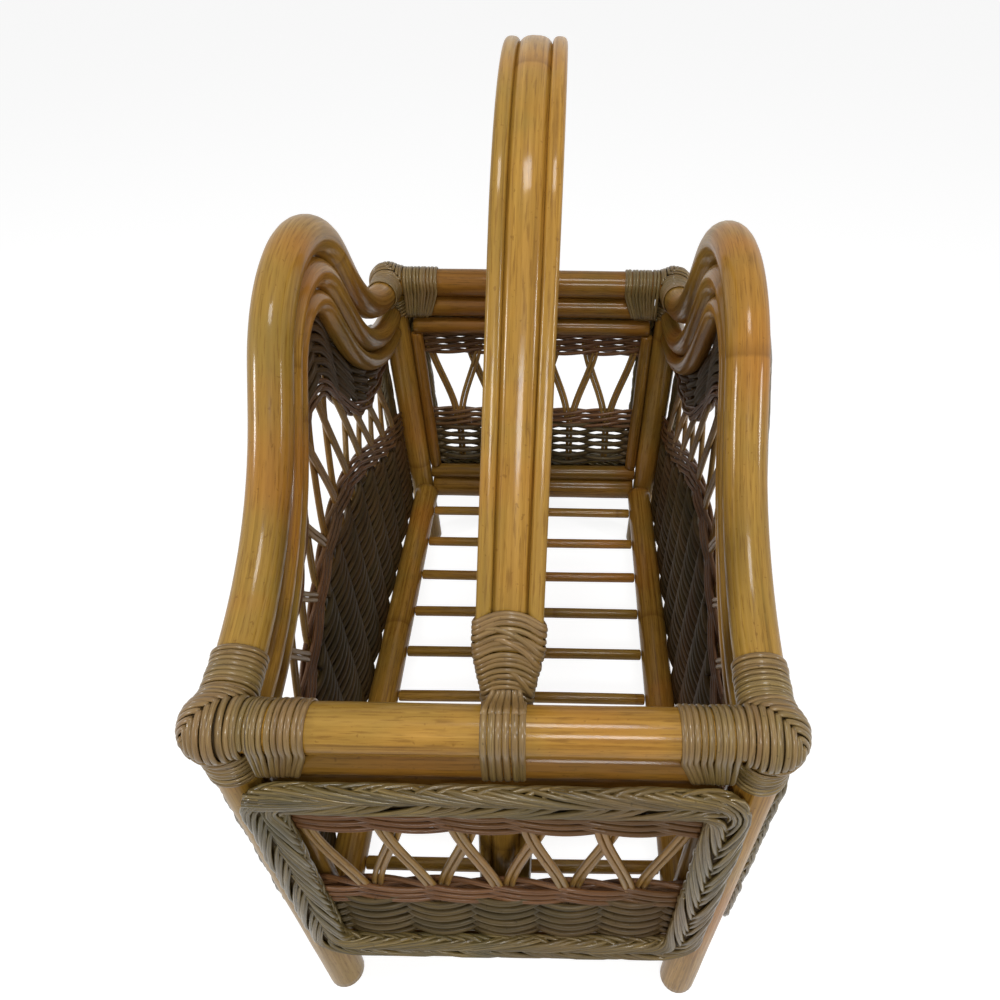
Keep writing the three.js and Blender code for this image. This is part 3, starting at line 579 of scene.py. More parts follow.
def make_handle():
    s = np.linspace(0, GRIP_LENGTH, 240)
    facing = grip_place(s, 0 * s, 1 + 0 * s) - grip_place(s, 0 * s, 0 * s)
    sets = (
        ("centre", 0.0, 0.0, GRIP_SIZE),
        ("left", -GRIP_SIDEWAYS, GRIP_SIDE_OUT, GRIP_SIDE_SIZE),
        ("right", GRIP_SIDEWAYS, GRIP_SIDE_OUT, GRIP_SIDE_SIZE),
    )
    for name, x, y, (width, height) in sets:
        strands = Strands()
        points = grip_place(s, x * pinch(s), np.full_like(s, y))
        scale = waviness(len(points))
        strands.tube(
            points, facing, width, height, POLE_SIDES, scale=scale, ends=POLE_ROUNDING, square=GRIP_SQUARE
        )
        strands.build(f"handle_{name}_pole_smooth", POLE, "rattan_pole", f"handle_{name}_pole")


# Windings
CANE_WIDTH = 3.0
CANE_THICK = 1.9
CANE_PITCH = 3.0
CANE_FLAT = 0.5
CANE_ROUNDING = 1.5
BELT_STEPS = 720


def belt(circles, offset, count=44):
    """Evenly spaced points round circles (x, y, radius) at an offset, and the outward direction at each."""
    angle = np.linspace(0, 2 * np.pi, BELT_STEPS + 1)[:-1]
    normal = np.stack([np.cos(angle), np.sin(angle)], -1)
    circles = np.asarray(circles, float)
    support = normal @ circles[:, :2].T + circles[:, 2]
    best = support.argmax(1)
    points = circles[best, :2] + normal * (circles[best, 2] + offset)[:, None]
    closed = np.vstack([points, points[:1]])
    s = along_path(closed)
    t = np.linspace(0, s[-1], count + 1)[:-1]
    return sampled(t, s, closed), unit(sampled(t, s, np.vstack([normal, normal[:1]])))


def winding(
    strands, loop, place, start, turns,
    pitch=CANE_PITCH, width=CANE_WIDTH, thick=CANE_THICK, jitter=0.16, slip=None,
):
    """One length of cane wound round a belt, put on its poles by place(s, x, y) and slid along by slip."""
    points, normal = loop
    n = len(points)
    steps = np.arange(int(turns * n) + 1)
    each_turn = np.arange(int(turns) + 2)
    wobble = np.interp(steps / n, each_turn, rng.uniform(-jitter, jitter, len(each_turn)) * pitch)
    thirds = np.arange(3 * len(each_turn) + 2)
    lift = np.interp(steps / n * 3, thirds, rng.uniform(0, 0.5, len(thirds)))
    scale = np.interp(steps / n * 3, thirds, rng.uniform(0.86, 1.06, len(thirds)))
    s = start + pitch * steps / n + wobble
    p, o = points[steps % n], normal[steps % n]
    if slip:
        s = s + slip(s, p[:, 0], p[:, 1])
    x, y = (p + o * lift[:, None]).T
    middle = place(s, x, y)
    out = unit(place(s, x + o[:, 0], y + o[:, 1]) - middle)
    strands.tube(middle, out, width, thick, flat=CANE_FLAT, scale=scale, ends=CANE_ROUNDING)


# Corner lashings
RAIL_BELT = belt([(0, 0, THICK / 2), (0, -MIDDLE_DROP, MIDDLE / 2)], CANE_THICK * 0.3)
POLE_BELT = belt([(0, 0, THICK / 2)], CANE_THICK * 0.3, 36)
WINDING_START = 14.0
RAIL_TURNS = 9.6
ARCH_TURNS = 7.6
LEG_START = 13.5
LEG_TURNS = 5.6
DRAW_START = 4.0
DRAW_RUN = 28.0
DRAW_SHIFT = 0.3
DRAW_SHARE = 0.34
ARCH_LENGTHS = along_path(OUTER_ARCH)
ARCH_TANGENTS = unit(np.gradient(OUTER_ARCH, axis=0))

# The ball over a corner: its canes' levels from its middle, and how they end
KNUCKLE = 16.4
KNUCKLE_CORE = KNUCKLE - 1.0
LEAST_RADIUS = THICK / 2 + 1.5
LEAST_ARC = 5.0
ARC_STEP = 1.4
OUTERMOST = 12.6
INNERMOST = -13.0
SKIRT_TOP = -1.5
SKIRT_SLOPE = 0.4
SKIRT_REACH = 12.0
LEG_ARCS = 4
LEG_ARC_TOP = -3.6
TUCK_START_RUN = 2.4
TUCK_START_DEPTH = 1.3
TUCK_STOP_RUN = 2.0
MITRE_DEPTH = 0.5
LEG_ARC_DEPTH = 1.3


def rail_place(way, sign, s, x, y):
    """A place round the upper rails, s from the corner."""
    return end_frame(sign, -way * (RIM_WIDTH / 2 - s), RIM + y, x)


def leg_place(way, sign, s, x, y):
    """A place round a leg, s below the rim."""
    z = RIM - s
    return np.stack([way * (leg_x(z) + x), sign * (leg_y(z) + y), z + 0 * x], -1)


def arch_place(way, sign, s, x, y):
    """A place round the outer arch pole near one of its ends, s from the corner."""
    at = s + ARCH_END
    p = sampled(at, ARCH_LENGTHS, OUTER_ARCH)
    t = unit(sampled(at, ARCH_LENGTHS, ARCH_TANGENTS))
    return side_frame(way, sign * -(p[..., 0] - t[..., 1] * y), p[..., 1] + t[..., 0] * y, x)


def drawn_in(s, x, y):
    """Slip of the canes below the rail, which draw in towards the corner."""
    below = np.clip(-(y + DRAW_START) / DRAW_RUN, 0, 1)
    return -below * (DRAW_SHIFT + DRAW_SHARE * (s - WINDING_START))


def bounded(share):
    """A sine or cosine kept off its limits."""
    return max(-0.98, min(0.98, share))


def ball_radius(level):
    """Radius of a cane's circle at a level from the ball's middle, clear of the poles on the inner side."""
    radius = math.sqrt(KNUCKLE**2 - level**2)
    return max(radius, LEAST_RADIUS) if level < 0 else radius


def knuckle(strands, ball, way, sign):
    """Cane crossing over a corner: three families of arcs that meet in mitred lines."""
    corner = np.array([way * RIM_WIDTH / 2, sign * RIM_LENGTH / 2, RIM])
    axes = np.array([[way, 0, 0], [0, sign, 0], [0, 0, 1]], float)

    def put(a, b, c):
        return corner + np.stack([a, b, c], -1) @ axes

    def over_rail(level, x, y):
        return put(level, x, y)

    def over_arch(level, x, y):
        return put(x, level, y)

    def round_leg(level, x, y):
        return put(x, y, level)

    def arc(place, level, start, stop, depth):
        radius = ball_radius(level)
        length = (stop - start) * radius
        if length < LEAST_ARC:
            return
        angle = np.linspace(start, stop, max(6, int(length / ARC_STEP)))
        tuck_start = np.minimum((angle - start) * radius / TUCK_START_RUN, 1.0)
        tuck_stop = np.minimum((stop - angle) * radius / TUCK_STOP_RUN, 1.0)
        tucked = radius - TUCK_START_DEPTH * (1 - tuck_start) - depth * (1 - tuck_stop)
        r = tucked + rng.uniform(-0.15, 0.25)
        level = level + rng.uniform(-0.2, 0.2)
        level = level + 0.35 * np.sin(np.linspace(0, 3, len(angle)) + rng.uniform(0, 6))
        points = place(level, r * np.cos(angle), r * np.sin(angle))
        out = points - corner - (place(level, 0 * angle, 0 * angle) - corner) * 0.6
        strands.tube(points, unit(out), CANE_WIDTH * rng.uniform(0.96, 1.08), CANE_THICK, flat=CANE_FLAT)

    t = np.linspace(-0.995, 0.995, 19)
    centre_line = put(0 * t, 0 * t, KNUCKLE_CORE * np.sin(t * np.pi / 2))
    ball.tube(centre_line, (1, 0, 0), 2 * KNUCKLE_CORE, sides=24, scale=np.cos(t * np.pi / 2))

    level = OUTERMOST
    while level > INNERMOST:
        radius = ball_radius(level)
        start = math.asin(bounded((SKIRT_TOP - SKIRT_SLOPE * (SKIRT_REACH - level)) / radius))
        stop = math.acos(bounded(level / radius))
        arc(over_rail, level, start, stop, MITRE_DEPTH)
        arc(over_arch, level, start, stop, MITRE_DEPTH)
        level -= CANE_PITCH * math.sqrt(max(1 - (level / KNUCKLE) ** 2, 0.5))
    for k in range(LEG_ARCS):
        level = LEG_ARC_TOP - CANE_PITCH * k
        skirt = SKIRT_REACH + (level - SKIRT_TOP) / SKIRT_SLOPE
        stop = math.acos(bounded(skirt / ball_radius(level)))
        arc(round_leg, level, math.pi / 2 - stop, stop, LEG_ARC_DEPTH)


def make_lashings():
    for end, sign in ENDS:
        for side, way in SIDES:
            strands, ball = Strands(), Strands()
            node = f"lashing_{end}_{side}"
            rail, arch, leg = (partial(place, way, sign) for place in (rail_place, arch_place, leg_place))
            winding(strands, RAIL_BELT, rail, WINDING_START, RAIL_TURNS, slip=drawn_in)
            winding(strands, POLE_BELT, arch, WINDING_START, ARCH_TURNS)
            winding(strands, POLE_BELT, leg, LEG_START, LEG_TURNS)
            knuckle(strands, ball, way, sign)
            strands.build(f"{node}_cane", CANE, "lashing_cane", node)
            # The ball under the canes takes the dark cane of painted shade.
            ball.build(f"{node}_core", CORE, "lashing_cane", node)


# Lashings of the handle
GRIP_HALF = GRIP_SIDEWAYS + GRIP_SIDE / 2
WRAP_SIDE = GRIP_SIDE / 2 + 0.6
WRAP_CIRCLES = [
    (0, 0, GRIP / 2),
    (-GRIP_SIDEWAYS, GRIP_SIDE_OUT, WRAP_SIDE),
    (GRIP_SIDEWAYS, GRIP_SIDE_OUT, WRAP_SIDE),
]
WRAP_BELT = belt(WRAP_CIRCLES, 0.7, 60)
WRAP_START = GRIP_RIM - 5
WRAP_TURNS = 14.7
WRAP_PITCH = 2.7
WRAP_WIDTH = 2.8
WRAP_THICK = 1.8
WRAP_JITTER = 0.3

# Canes that cross over the wrap: place above the rim, slope, and middle and half length in turns
CROSSINGS = ((24.0, -5.5, 0.18, 0.2), (19.5, -6.0, 0.16, 0.17), (7.0, -8.0, 0.1, 0.12))
CROSSING_WIDTH = 2.9

BAND_STRANDS = 6
BAND_PITCH = 3.45
BAND_SHIFT = 4.2
BAND_SWAY = 0.25
BAND_SIZE = (3.4, 2.0)

# Canes that rise from the band into the wrap: points on the handle, then over the rail
RISER_SIZE = (3.3, 2.0)
RISER_HEIGHTS = np.array([9.0, 6.5, 4.0, 1.5])
RISER_OUT = np.array([7.4, 8.2, 8.6, 8.9])
RISER_SPREAD = 0.86
OVER_SPREAD = np.array([0.92, 0.97, 1.0])
OVER_HEIGHTS = np.array([10.9, 12.4, 12.9])
OVER_OUT = np.array([-6.3, -3.0, 0.0])


def wrap_place(sign, s, x, y):
    """A place round the three handle poles, s along them from the front (-1) or back (1) foot."""
    return grip_place(s if sign < 0 else GRIP_LENGTH - s, x * pinch(s), y)


def droop(s, x, y):
    """Slip of the wrap's canes, which hang lower at the sides of the handle."""
    return 5.5 - 6.0 * (np.abs(x) / GRIP_HALF) ** 2


def make_handle_wrap(end, sign):
    strands = Strands()
    place = partial(wrap_place, sign)
    winding(
        strands, WRAP_BELT, place, WRAP_START, WRAP_TURNS,
        WRAP_PITCH, WRAP_WIDTH, WRAP_THICK, WRAP_JITTER, droop,
    )
    points, normal = WRAP_BELT
    n = len(points)
    for above, slope, middle_turn, reach in CROSSINGS:
        turn = np.linspace(middle_turn - reach, middle_turn + reach, 22)
        lift = 1.4 * np.sin(np.linspace(0, np.pi, len(turn))) ** 0.5 - 0.5
        p, o = (sampled(turn * n, np.arange(-n, 2 * n), np.tile(a, (3, 1))) for a in (points, normal))
        x, y = (p + o * lift[:, None]).T
        s = GRIP_RIM + above + slope * x / GRIP_HALF + droop(0, x, y)
        middle = place(s, x, y)
        out = unit(place(s, x + o[:, 0], y + o[:, 1]) - middle)
        strands.tube(middle, out, CROSSING_WIDTH, WRAP_THICK, flat=CANE_FLAT)
    strands.build(f"handle_wrap_{end}_cane", CANE, "lashing_cane", f"handle_wrap_{end}")


def make_handle_band(end, sign):
    strands = Strands()
    put = partial(end_frame, sign)
    loop, out = RAIL_BELT
    facing = unit(put(0, out[:, 1], out[:, 0]) - put(0, 0, 0))
    for strand in range(BAND_STRANDS):
        across = (strand - (BAND_STRANDS - 1) / 2) * BAND_PITCH + rng.uniform(-0.35, 0.35)
        sway = BAND_SWAY * np.sin(2 * np.pi * np.arange(len(loop)) / len(loop) + rng.uniform(0, 6))
        lift = rng.uniform(0.0, 0.3)
        w, v = (loop + out * lift).T
        path = put(-BAND_SHIFT - across - sway, RIM + v, w)
        strands.tube(path, facing, *BAND_SIZE, closed=True, flat=CANE_FLAT)
        sideways = BAND_SHIFT - GRIP_SHIFT + RISER_SPREAD * across
        under = wrap_place(sign, GRIP_RIM + RISER_HEIGHTS, sideways, RISER_OUT)
        over = put(-BAND_SHIFT - across * OVER_SPREAD, RIM + OVER_HEIGHTS, OVER_OUT)
        strands.tube(np.concatenate([under, over]), (0, sign, 1.0), *RISER_SIZE, flat=CANE_FLAT)
    strands.build(f"handle_band_{end}_cane", CANE, "lashing_cane", f"handle_band_{end}")


# Woven panels
WEAVE_MIDDLE = UPRIGHT / 2 + GAP + 3.0
PAIR_OFFSET = 1.75
STAKE_SIZE = (3.5, 3.3)
ROW_HEIGHT = 0.9
ROW_DRIFT = 0.3
ROW_FADE = 14.0
TWINE_THICK = 3.6
TWINE_RISE = 2.6
FORK = 2.4
LAYER = 1.8
LATTICE_FOOT = 10.0
LATTICE_HEAD = 6.0

END_ROWS = 11
END_ROW_PITCH = 4.6
END_ROW_SWING = 4.4
END_ROW_THICK = 4.8
END_TWINE_SWING = 3.4
END_LOWER_TWINES = (-3.5, 2.8, 9.1)
END_UPPER_TWINES = (-9.0, -2.8, 3.4, 9.6)
END_LATTICE_LOW = BAND_TOP + LOWER_ROW - 10
END_LATTICE_HIGH = UPRIGHT_TOP - UPPER_ROW - 6
END_LATTICE_REACH = 100.0
END_LATTICE_CURVE = 0.7

SIDE_ROWS = 38
SIDE_ROW_PITCH = 4.1
SIDE_ROW_SWING = 3.0
SIDE_ROW_THICK = 5.7
SIDE_TWINE_SWING = 2.6
SIDE_LOWER_TWINES = (4.5, 11.0, 17.5)
SIDE_UPPER_TWINES = (-9.6, -3.2)
SIDE_LATTICE_REACH = 200.0
SIDE_LATTICE_CURVE = 0.25
FIRST_ROW = 2.2
HUMP_ROWS = 14
HUMP_FIRST_ROW = 1.8
HUMP_STAKE_REACH = 150.0


def bell(u):
    return np.cos(np.pi * u / RIM_LENGTH) ** 2


def low_edge(u):
    """Top of a side panel's woven band."""
    return BAND_TOP + BAND_CROWN * bell(u)


def arch_underside(u):
    return inner_height(u) - THIN / 2 - GAP


def high_edge(u):
    """Bottom of a side panel's band under the hump of the arches."""
    return arch_underside(u) - HUMP_CROWN * bell(u)


def woven_row(strands, put, u, z, number, pitch, half, swing, thick):
    """A row of cane passing before and behind the stakes in turn."""
    phase = np.pi * u / pitch
    fade = np.clip((half - np.abs(u)) / ROW_FADE, 0.0, 1.0)
    wave = np.sign(np.cos(phase)) * np.abs(np.cos(phase)) ** 0.8
    w = WEAVE_MIDDLE + (-1) ** number * swing * wave * fade + 1.0 * (1 - fade)
    drift = rng.uniform(-ROW_DRIFT, ROW_DRIFT) + ROW_DRIFT * np.sin(2 * phase + rng.uniform(0, 6))
    strands.tube(put(u, z + drift, w), outward(put), thick, thick * ROW_HEIGHT, sides=6)


def twined_rows(strands, put, u, base, heights, pitch, swing):
    """Sets of three canes twisted round each other and the stakes, at heights above a base line."""
    for z in heights:
        for cane in range(3):
            phase = np.pi * u / (1.5 * pitch) + 2 * np.pi * cane / 3 + z
            points = put(u, base + z + TWINE_RISE * np.sin(phase), WEAVE_MIDDLE + swing * np.cos(phase))
            strands.tube(points, outward(put), TWINE_THICK, TWINE_THICK * ROW_HEIGHT, sides=6)


def stake_pair(strands, put, u, low, high, count, out):
    """Two upright canes side by side."""
    for cane in (-1, 1):
        points = put(u + cane * PAIR_OFFSET, np.linspace(low, high, count), WEAVE_MIDDLE)
        strands.tube(points, out, *STAKE_SIZE)


def lattice(strands, put, stakes, pitch, shift, low, high, reach, curve):
    """Doubled canes from each stake to both sides, in two layers, more upright where they enter the rows."""
    t = np.linspace(0, 1, 26)
    for stake in range(stakes):
        foot = (stake - (stakes - 1) / 2) * pitch
        for way in (-1, 1):
            head = foot + way * shift
            if abs(head) > reach:
                continue
            bend = rng.uniform(-1.5, 1.5)
            ease = (1 - curve) * t + curve * t * t * (3 - 2 * t)
            u = foot + way * (FORK + (shift - FORK) * ease) + bend * np.sin(np.pi * t)
            bottom, top = low(foot) - LATTICE_FOOT, high(head) + LATTICE_HEAD
            z = bottom + (top - bottom) * t
            w = WEAVE_MIDDLE + way * LAYER * (1 - np.exp(-np.minimum(t, 1 - t) / 0.1))
            slope = np.gradient(u, z)
            lean = np.sqrt(1 + slope**2)
            for cane in (-1, 1):
                offset = cane * PAIR_OFFSET
                points = put(u + offset / lean, z - offset * slope / lean, w)
                strands.tube(points, outward(put), *STAKE_SIZE, ends=POLE_ROUNDING)


def build_lattice(panel, canes, red):
    canes.build(f"{panel}_lattice_canes", LATTICE, "lattice_cane", f"{panel}_lattice")
    red.build(f"{panel}_twined_rows", ROW, "lattice_cane", f"{panel}_lattice")


def make_end_panel(end, sign):
    put = partial(end_frame, sign)
    band, red, canes = Strands(), Strands(), Strands()
    for row in range(END_ROWS):
        z = UPRIGHT_BOTTOM + FIRST_ROW + END_ROW_PITCH * row
        half = leg_x(z) - THICK / 2 - 1.5
        u = np.linspace(-half, half, 110)
        woven_row(band, put, u, z, row, PITCH_END, half, END_ROW_SWING, END_ROW_THICK)
    for stake in range(STAKES_END):
        u = (stake - (STAKES_END - 1) / 2) * PITCH_END
        stake_pair(canes, put, u, UPRIGHT_BOTTOM + 1, BAND_TOP + 6, 8, (0, sign, 0))
    for edge, heights in ((BAND_TOP, END_LOWER_TWINES), (UPRIGHT_TOP - UPPER_ROW, END_UPPER_TWINES)):
        half = leg_x(edge) - THICK / 2 - 1.5
        u = np.linspace(-half, half, 110)
        twined_rows(red, put, u, edge, heights, PITCH_END, END_TWINE_SWING)
    lattice(
        canes, put, STAKES_END, PITCH_END, SHIFT_END, lambda u: END_LATTICE_LOW, lambda u: END_LATTICE_HIGH,
        END_LATTICE_REACH, END_LATTICE_CURVE,
    )
    band.build(f"{end}_woven_rows", WEAVE, "weave", f"{end}_woven_band")
    build_lattice(end, canes, red)


def side_band_rows(strands, put, half):
    """Rows of a side panel's band, each as long as the bell curve of its top edge lets it be."""
    for row in range(SIDE_ROWS):
        z = FLOOR + FIRST_ROW + SIDE_ROW_PITCH * row
        share = (z + 1 - BAND_TOP) / BAND_CROWN
        if share > 0.97:
            break
        reach = half if share < 0 else min(half, RIM_LENGTH / np.pi * math.acos(math.sqrt(share)))
        u = np.linspace(-reach, reach, max(12, int(reach / 1.6)))
        woven_row(strands, put, u, z, row, PITCH_SIDE, half, SIDE_ROW_SWING, SIDE_ROW_THICK)


def hump_rows(strands, put, half):
    """Rows that follow the arches, down to the band's lower edge."""
    for row in range(HUMP_ROWS):
        u = np.linspace(-half, half, 400)
        z = arch_underside(u) - HUMP_FIRST_ROW - SIDE_ROW_PITCH * row
        inside = z > high_edge(u) + 1.0
        if inside.sum() > 16:
            u, z = u[inside], z[inside]
            woven_row(strands, put, u, z, row, PITCH_SIDE, half, SIDE_ROW_SWING, SIDE_ROW_THICK)


def make_side_panel(side, sign):
    put = partial(side_frame, sign)
    half = leg_y(FLOOR) - THICK / 2 - 1.0
    band, hump, red, canes = Strands(), Strands(), Strands(), Strands()
    side_band_rows(band, put, half)
    hump_rows(hump, put, half)
    for stake in range(STAKES_SIDE):
        u = (stake - (STAKES_SIDE - 1) / 2) * PITCH_SIDE
        stake_pair(canes, put, u, FLOOR + 1, low_edge(u) + 6, 10, (sign, 0, 0))
        if abs(u) < HUMP_STAKE_REACH:
            stake_pair(canes, put, u, high_edge(u) - 6, arch_underside(u) - 1, 10, (sign, 0, 0))
    u = np.linspace(-half, half, 230)
    twined_rows(red, put, u, low_edge(u), SIDE_LOWER_TWINES, PITCH_SIDE, SIDE_TWINE_SWING)
    twined_rows(red, put, u, high_edge(u), SIDE_UPPER_TWINES, PITCH_SIDE, SIDE_TWINE_SWING)
    lattice(
        canes, put, STAKES_SIDE, PITCH_SIDE, SHIFT_SIDE, lambda u: low_edge(u) + LOWER_ROW,
        lambda u: high_edge(u) - UPPER_ROW, SIDE_LATTICE_REACH, SIDE_LATTICE_CURVE,
    )
    # The side bands take the darker cane, partly painted shade.
    band.build(f"{side}_woven_rows", DARK_WEAVE, "weave", f"{side}_woven_band")
    hump.build(f"{side}_hump_rows", DARK_WEAVE, "weave", f"{side}_hump_band")
    build_lattice(side, canes, red)


# Plaited borders
BORDER_INSET = 13.4
BORDER_OUT = THICK / 2 + GAP + 4.4
CORE_SIZE = (15.0, 4.6)
STROKE_CANES = 4
STROKE_THICK = 2.9
STROKE_SPACING = 0.21
STROKE_LENGTH = 1.42

# A stroke's way from its edge to the middle and over it: distance from the middle line, then height
STROKE_ACROSS = ([0, 0.12, 0.3, 0.6, 0.85, 1], [8.2, 9.4, 8.4, 5.0, 1.4, -2.4])
STROKE_RISE = ([0, 0.1, 0.25, 0.6, 0.8, 1], [-1.8, 0.6, 2.3, 3.6, 3.0, 0.2])

END_STROKES = 19
END_BORDER_LOW = 94
END_BORDER_HIGH = 268
END_BORDER_RADII = [17.0, 12.5, 12.5, 17.0]
SIDE_STROKES = 34
SIDE_BORDER_LOW = 82.0
SIDE_LOW_RADIUS = 17.0
SIDE_HIGH_RADIUS = 16.0
ARCH_POINT_RADIUS = 1.0
SHOULDER = 24.0

CUT_ENDS = 9
CUT_END_THICK = 2.3
CUT_END_RISE = ([0, 0.3, 0.7, 1], [8.2, 8.9, 8.2, 5.6])


def plait(strands, core, path, put, strokes):
    """A plaited border along a closed path of (u, v) points: long strokes of canes that slant from both edges
    to the middle, where each dives under those of the other edge."""
    closed = np.vstack([path, path[:1]])
    lengths = along_path(closed)
    total = lengths[-1]
    grid = np.linspace(0, total, int(total / 2) + 1)[:-1]
    centre = sampled(grid, lengths, closed)
    tangent = unit(np.roll(centre, -4, 0) - np.roll(centre, 4, 0))
    normal = np.stack([-tangent[:, 1], tangent[:, 0]], -1)

    def at(t, q, w):
        middle, across = (sampled(t, grid, a, period=total) for a in (centre, normal))
        p = middle + across * q[:, None]
        return put(p[:, 0], p[:, 1], BORDER_OUT + w)

    face = outward(put)
    core.tube(at(grid, 0 * grid, 0 * grid), face, *CORE_SIZE, closed=True)
    pitch = total / strokes
    share = np.linspace(0, 1, 15)
    across, height = np.interp(share, *STROKE_ACROSS), np.interp(share, *STROKE_RISE)
    for stroke in range(strokes):
        for edge in (-1, 1):
            for side in (-1, 1):
                for cane in range(STROKE_CANES):
                    place = stroke + edge / 4 + side / 8 + STROKE_SPACING * cane
                    start = place * pitch + rng.uniform(-1.4, 1.4)
                    q = across + rng.uniform(-0.3, 0.3)
                    q = edge * (q + 0.25 * np.sin(5 * share + rng.uniform(0, 6)))
                    w = side * (height + rng.uniform(-0.1, 0.45) - 0.12 * cane)
                    points = at(start + STROKE_LENGTH * pitch * share, q, w)
                    thick = STROKE_THICK * rng.uniform(0.86, 1.12)
                    strands.tube(points, face * side, thick, sides=6, ends=CANE_ROUNDING)


def cut_ends(strands, put, u, v):
    """The ends of the canes that begin the plait, laid side by side over its corner."""
    share = np.linspace(0, 1, 12)
    for cane in range(CUT_ENDS):
        row = cane - (CUT_ENDS - 1) // 2
        reach = u + rng.uniform(1.0, 5.0) - 0.35 * abs(row)
        along = reach - share * rng.uniform(46, 62)
        across = v + row * (2.1 - 1.1 * share) + 1.2 * share * (row < 0) + 2.0 * share
        height = THICK / 2 + GAP + np.interp(share, *CUT_END_RISE) - 0.14 * row * row
        thick = CUT_END_THICK * rng.uniform(0.9, 1.1)
        strands.tube(put(along, across, height), outward(put), thick)


def build_border(panel, strands, core):
    strands.build(f"{panel}_border_plait", BORDER, "plaited_border", f"{panel}_border")
    # The core under the strokes takes the dark cane of painted shade.
    core.build(f"{panel}_border_core", CORE, "plaited_border", f"{panel}_border")


def make_end_border(end, sign):
    strands, core = Strands(), Strands()
    put = partial(end_frame, sign)
    low, high = (leg_x(z) - BORDER_INSET for z in (END_BORDER_LOW, END_BORDER_HIGH))
    rising = [(low, END_BORDER_LOW), (high, END_BORDER_HIGH)]
    corners = [*rising, *((-u, v) for u, v in reversed(rising))]
    plait(strands, core, rounded_loop(corners, END_BORDER_RADII), put, END_STROKES)
    cut_ends(strands, put, high + 1, END_BORDER_HIGH)
    build_border(end, strands, core)


def make_side_border(side, sign):
    strands, core = Strands(), Strands()
    top, bottom = (leg_y(z) - BORDER_INSET for z in (RIM, SIDE_BORDER_LOW))
    shoulder = float(inner_height(top - SHOULDER))
    u = np.linspace(top - SHOULDER, -(top - SHOULDER), 90)
    arch = list(zip(u, inner_height(u)))
    back_foot, front_foot = (bottom, SIDE_BORDER_LOW), (-bottom, SIDE_BORDER_LOW)
    corners = [back_foot, (top, shoulder), *arch, (-top, shoulder), front_foot]
    ends = [SIDE_LOW_RADIUS, SIDE_HIGH_RADIUS]
    radii = [*ends, *[ARCH_POINT_RADIUS] * len(arch), *reversed(ends)]
    plait(strands, core, rounded_loop(corners, radii), partial(side_frame, sign), SIDE_STROKES)
    build_border(side, strands, core)


make_arches()
for end in ENDS:
    make_end_rails(*end)
    make_posts(*end)
make_floor_poles()
make_handle()
make_lashings()
for end in ENDS:
    make_handle_wrap(*end)
    make_handle_band(*end)
for end in ENDS:
    make_end_panel(*end)
for side in SIDES:
    make_side_panel(*side)
for end in ENDS:
    make_end_border(*end)
for side in SIDES:
    make_side_border(*side)

# Floor, light and camera, in metres and watts
FLOOR_HALF = 4.0
FLOOR_GLOW = 0.84
FLOOR_COLOUR = (0.4, 0.4, 0.4, 1)
WORLD_LIGHT = 0.22
WORLD_SEEN = 1.0

# Name, place, target, size and power of each lamp
LAMPS = (
    ("left", (-1.5, -0.5, 0.8), (0, 0, 0.25), 0.22, 8.0),
    ("right", (1.5, -0.55, 0.8), (0, 0, 0.25), 0.22, 6.5),
    ("top", (0.05, -0.4, 1.6), (0, -0.05, 0.3), 0.3, 6.4),
    ("front", (0.1, -1.0, 0.9), (0, -0.1, 0.3), 0.2, 3.5),
)

# The photo's camera: focal length and image centre in pixels, pitch, yaw and roll in degrees. Its place was
# found for a basket 300 mm wide between corner posts, and is scaled to this one.
IMAGE_SIZE = 1000
SENSOR = 36.0
FOCAL = 800.5
CENTRE_X = 556.7
CENTRE_Y = 499.9
SOLVED_WIDTH = 300
CAMERA_PLACE = np.array([32.8, -518.2, 738.1]) * RIM_WIDTH / SOLVED_WIDTH * MM
CAMERA_ANGLES = (40.6, -0.2, -0.8)
CLIP_START = 0.01


def placed(obj, right, up, back, place):
    """Links an object to the scene with its axes and place."""
    bpy.context.scene.collection.objects.link(obj)
    rows = np.stack([right, up, back], 1)
    obj.matrix_world = Matrix([[*row, place[k]] for k, row in enumerate(rows)] + [[0, 0, 0, 1]])


def seen_directly(s):
    """1 for what the camera sees, also by way of a mirroring or clear surface, and 0 for diffuse light."""
    path = s.node("ShaderNodeLightPath").outputs
    seen = s.math("MAXIMUM", path["Is Camera Ray"], path["Is Glossy Ray"])
    return s.math("MAXIMUM", seen, path["Is Transmission Ray"])


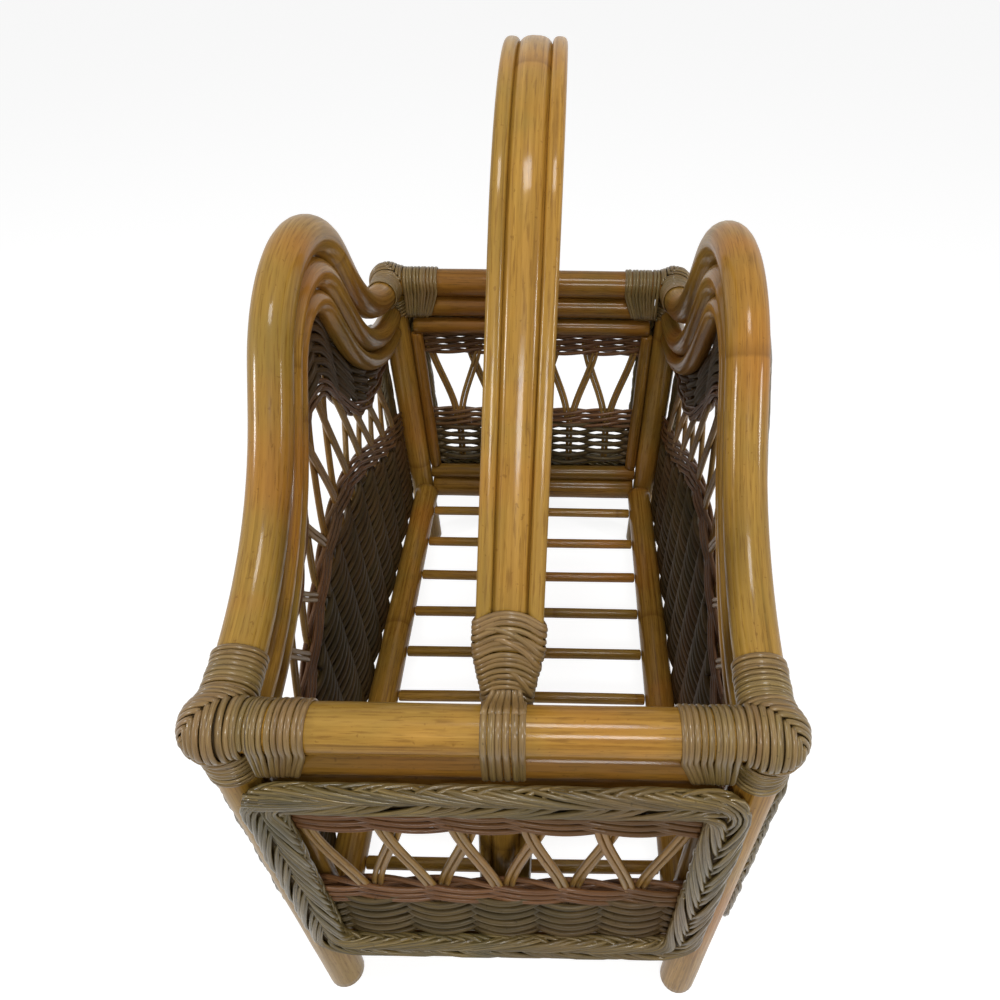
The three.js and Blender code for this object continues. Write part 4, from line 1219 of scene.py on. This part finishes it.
def make_floor():
    mesh = bpy.data.meshes.new("floor")
    corners = [(x * FLOOR_HALF, y * FLOOR_HALF, 0) for x, y in ((-1, -1), (1, -1), (1, 1), (-1, 1))]
    mesh.from_pydata(corners, [], [(0, 1, 2, 3)])
    floor = bpy.data.objects.new("floor", mesh)
    bpy.context.scene.collection.objects.link(floor)
    material = bpy.data.materials.new("pale_floor")
    s = Shader(material)
    glow = s.math("MULTIPLY", seen_directly(s), FLOOR_GLOW)
    diffuse = s.node("ShaderNodeBsdfDiffuse", {"Color": FLOOR_COLOUR})
    emission = s.node("ShaderNodeEmission", {"Strength": glow})
    both = s.node("ShaderNodeAddShader", {0: diffuse.outputs[0], 1: emission.outputs[0]})
    s.node("ShaderNodeOutputMaterial", {"Surface": both.outputs[0]})
    mesh.materials.append(material)


def make_world():
    world = bpy.data.worlds.new("studio")
    bpy.context.scene.world = world
    s = Shader(world)
    levels = {"Value": seen_directly(s), "To Min": WORLD_LIGHT, "To Max": WORLD_SEEN}
    strength = s.node("ShaderNodeMapRange", levels).outputs[0]
    background = s.node("ShaderNodeBackground", {"Color": (1, 1, 1, 1), "Strength": strength})
    s.node("ShaderNodeOutputWorld", {"Surface": background.outputs[0]})


def make_lamp(name, place, target, size, power):
    light = bpy.data.lights.new(name, "AREA")
    light.size, light.energy = size, power
    back = -unit(np.asarray(target, float) - np.asarray(place, float))
    right = unit(np.cross([0, 0, 1.0], back))
    placed(bpy.data.objects.new(name, light), right, np.cross(back, right), back, place)


def make_camera():
    pitch, yaw, roll = (math.radians(angle) for angle in CAMERA_ANGLES)
    forward = np.array([math.sin(yaw) * math.cos(pitch), math.cos(yaw) * math.cos(pitch), -math.sin(pitch)])
    level = np.array([math.cos(yaw), -math.sin(yaw), 0.0])
    plumb = np.cross(forward, level)
    right = math.cos(roll) * level + math.sin(roll) * plumb
    down = -math.sin(roll) * level + math.cos(roll) * plumb
    camera = bpy.data.cameras.new("camera")
    camera.sensor_width = SENSOR
    camera.lens = FOCAL / IMAGE_SIZE * SENSOR
    camera.shift_x = -(CENTRE_X - IMAGE_SIZE / 2) / IMAGE_SIZE
    camera.shift_y = (CENTRE_Y - IMAGE_SIZE / 2) / IMAGE_SIZE
    camera.clip_start = CLIP_START
    obj = bpy.data.objects.new("camera", camera)
    placed(obj, right, -down, -forward, CAMERA_PLACE)
    bpy.context.scene.camera = obj


make_floor()
make_world()
for lamp in LAMPS:
    make_lamp(*lamp)
make_camera()
bpy.context.scene.view_settings.view_transform = "Standard"
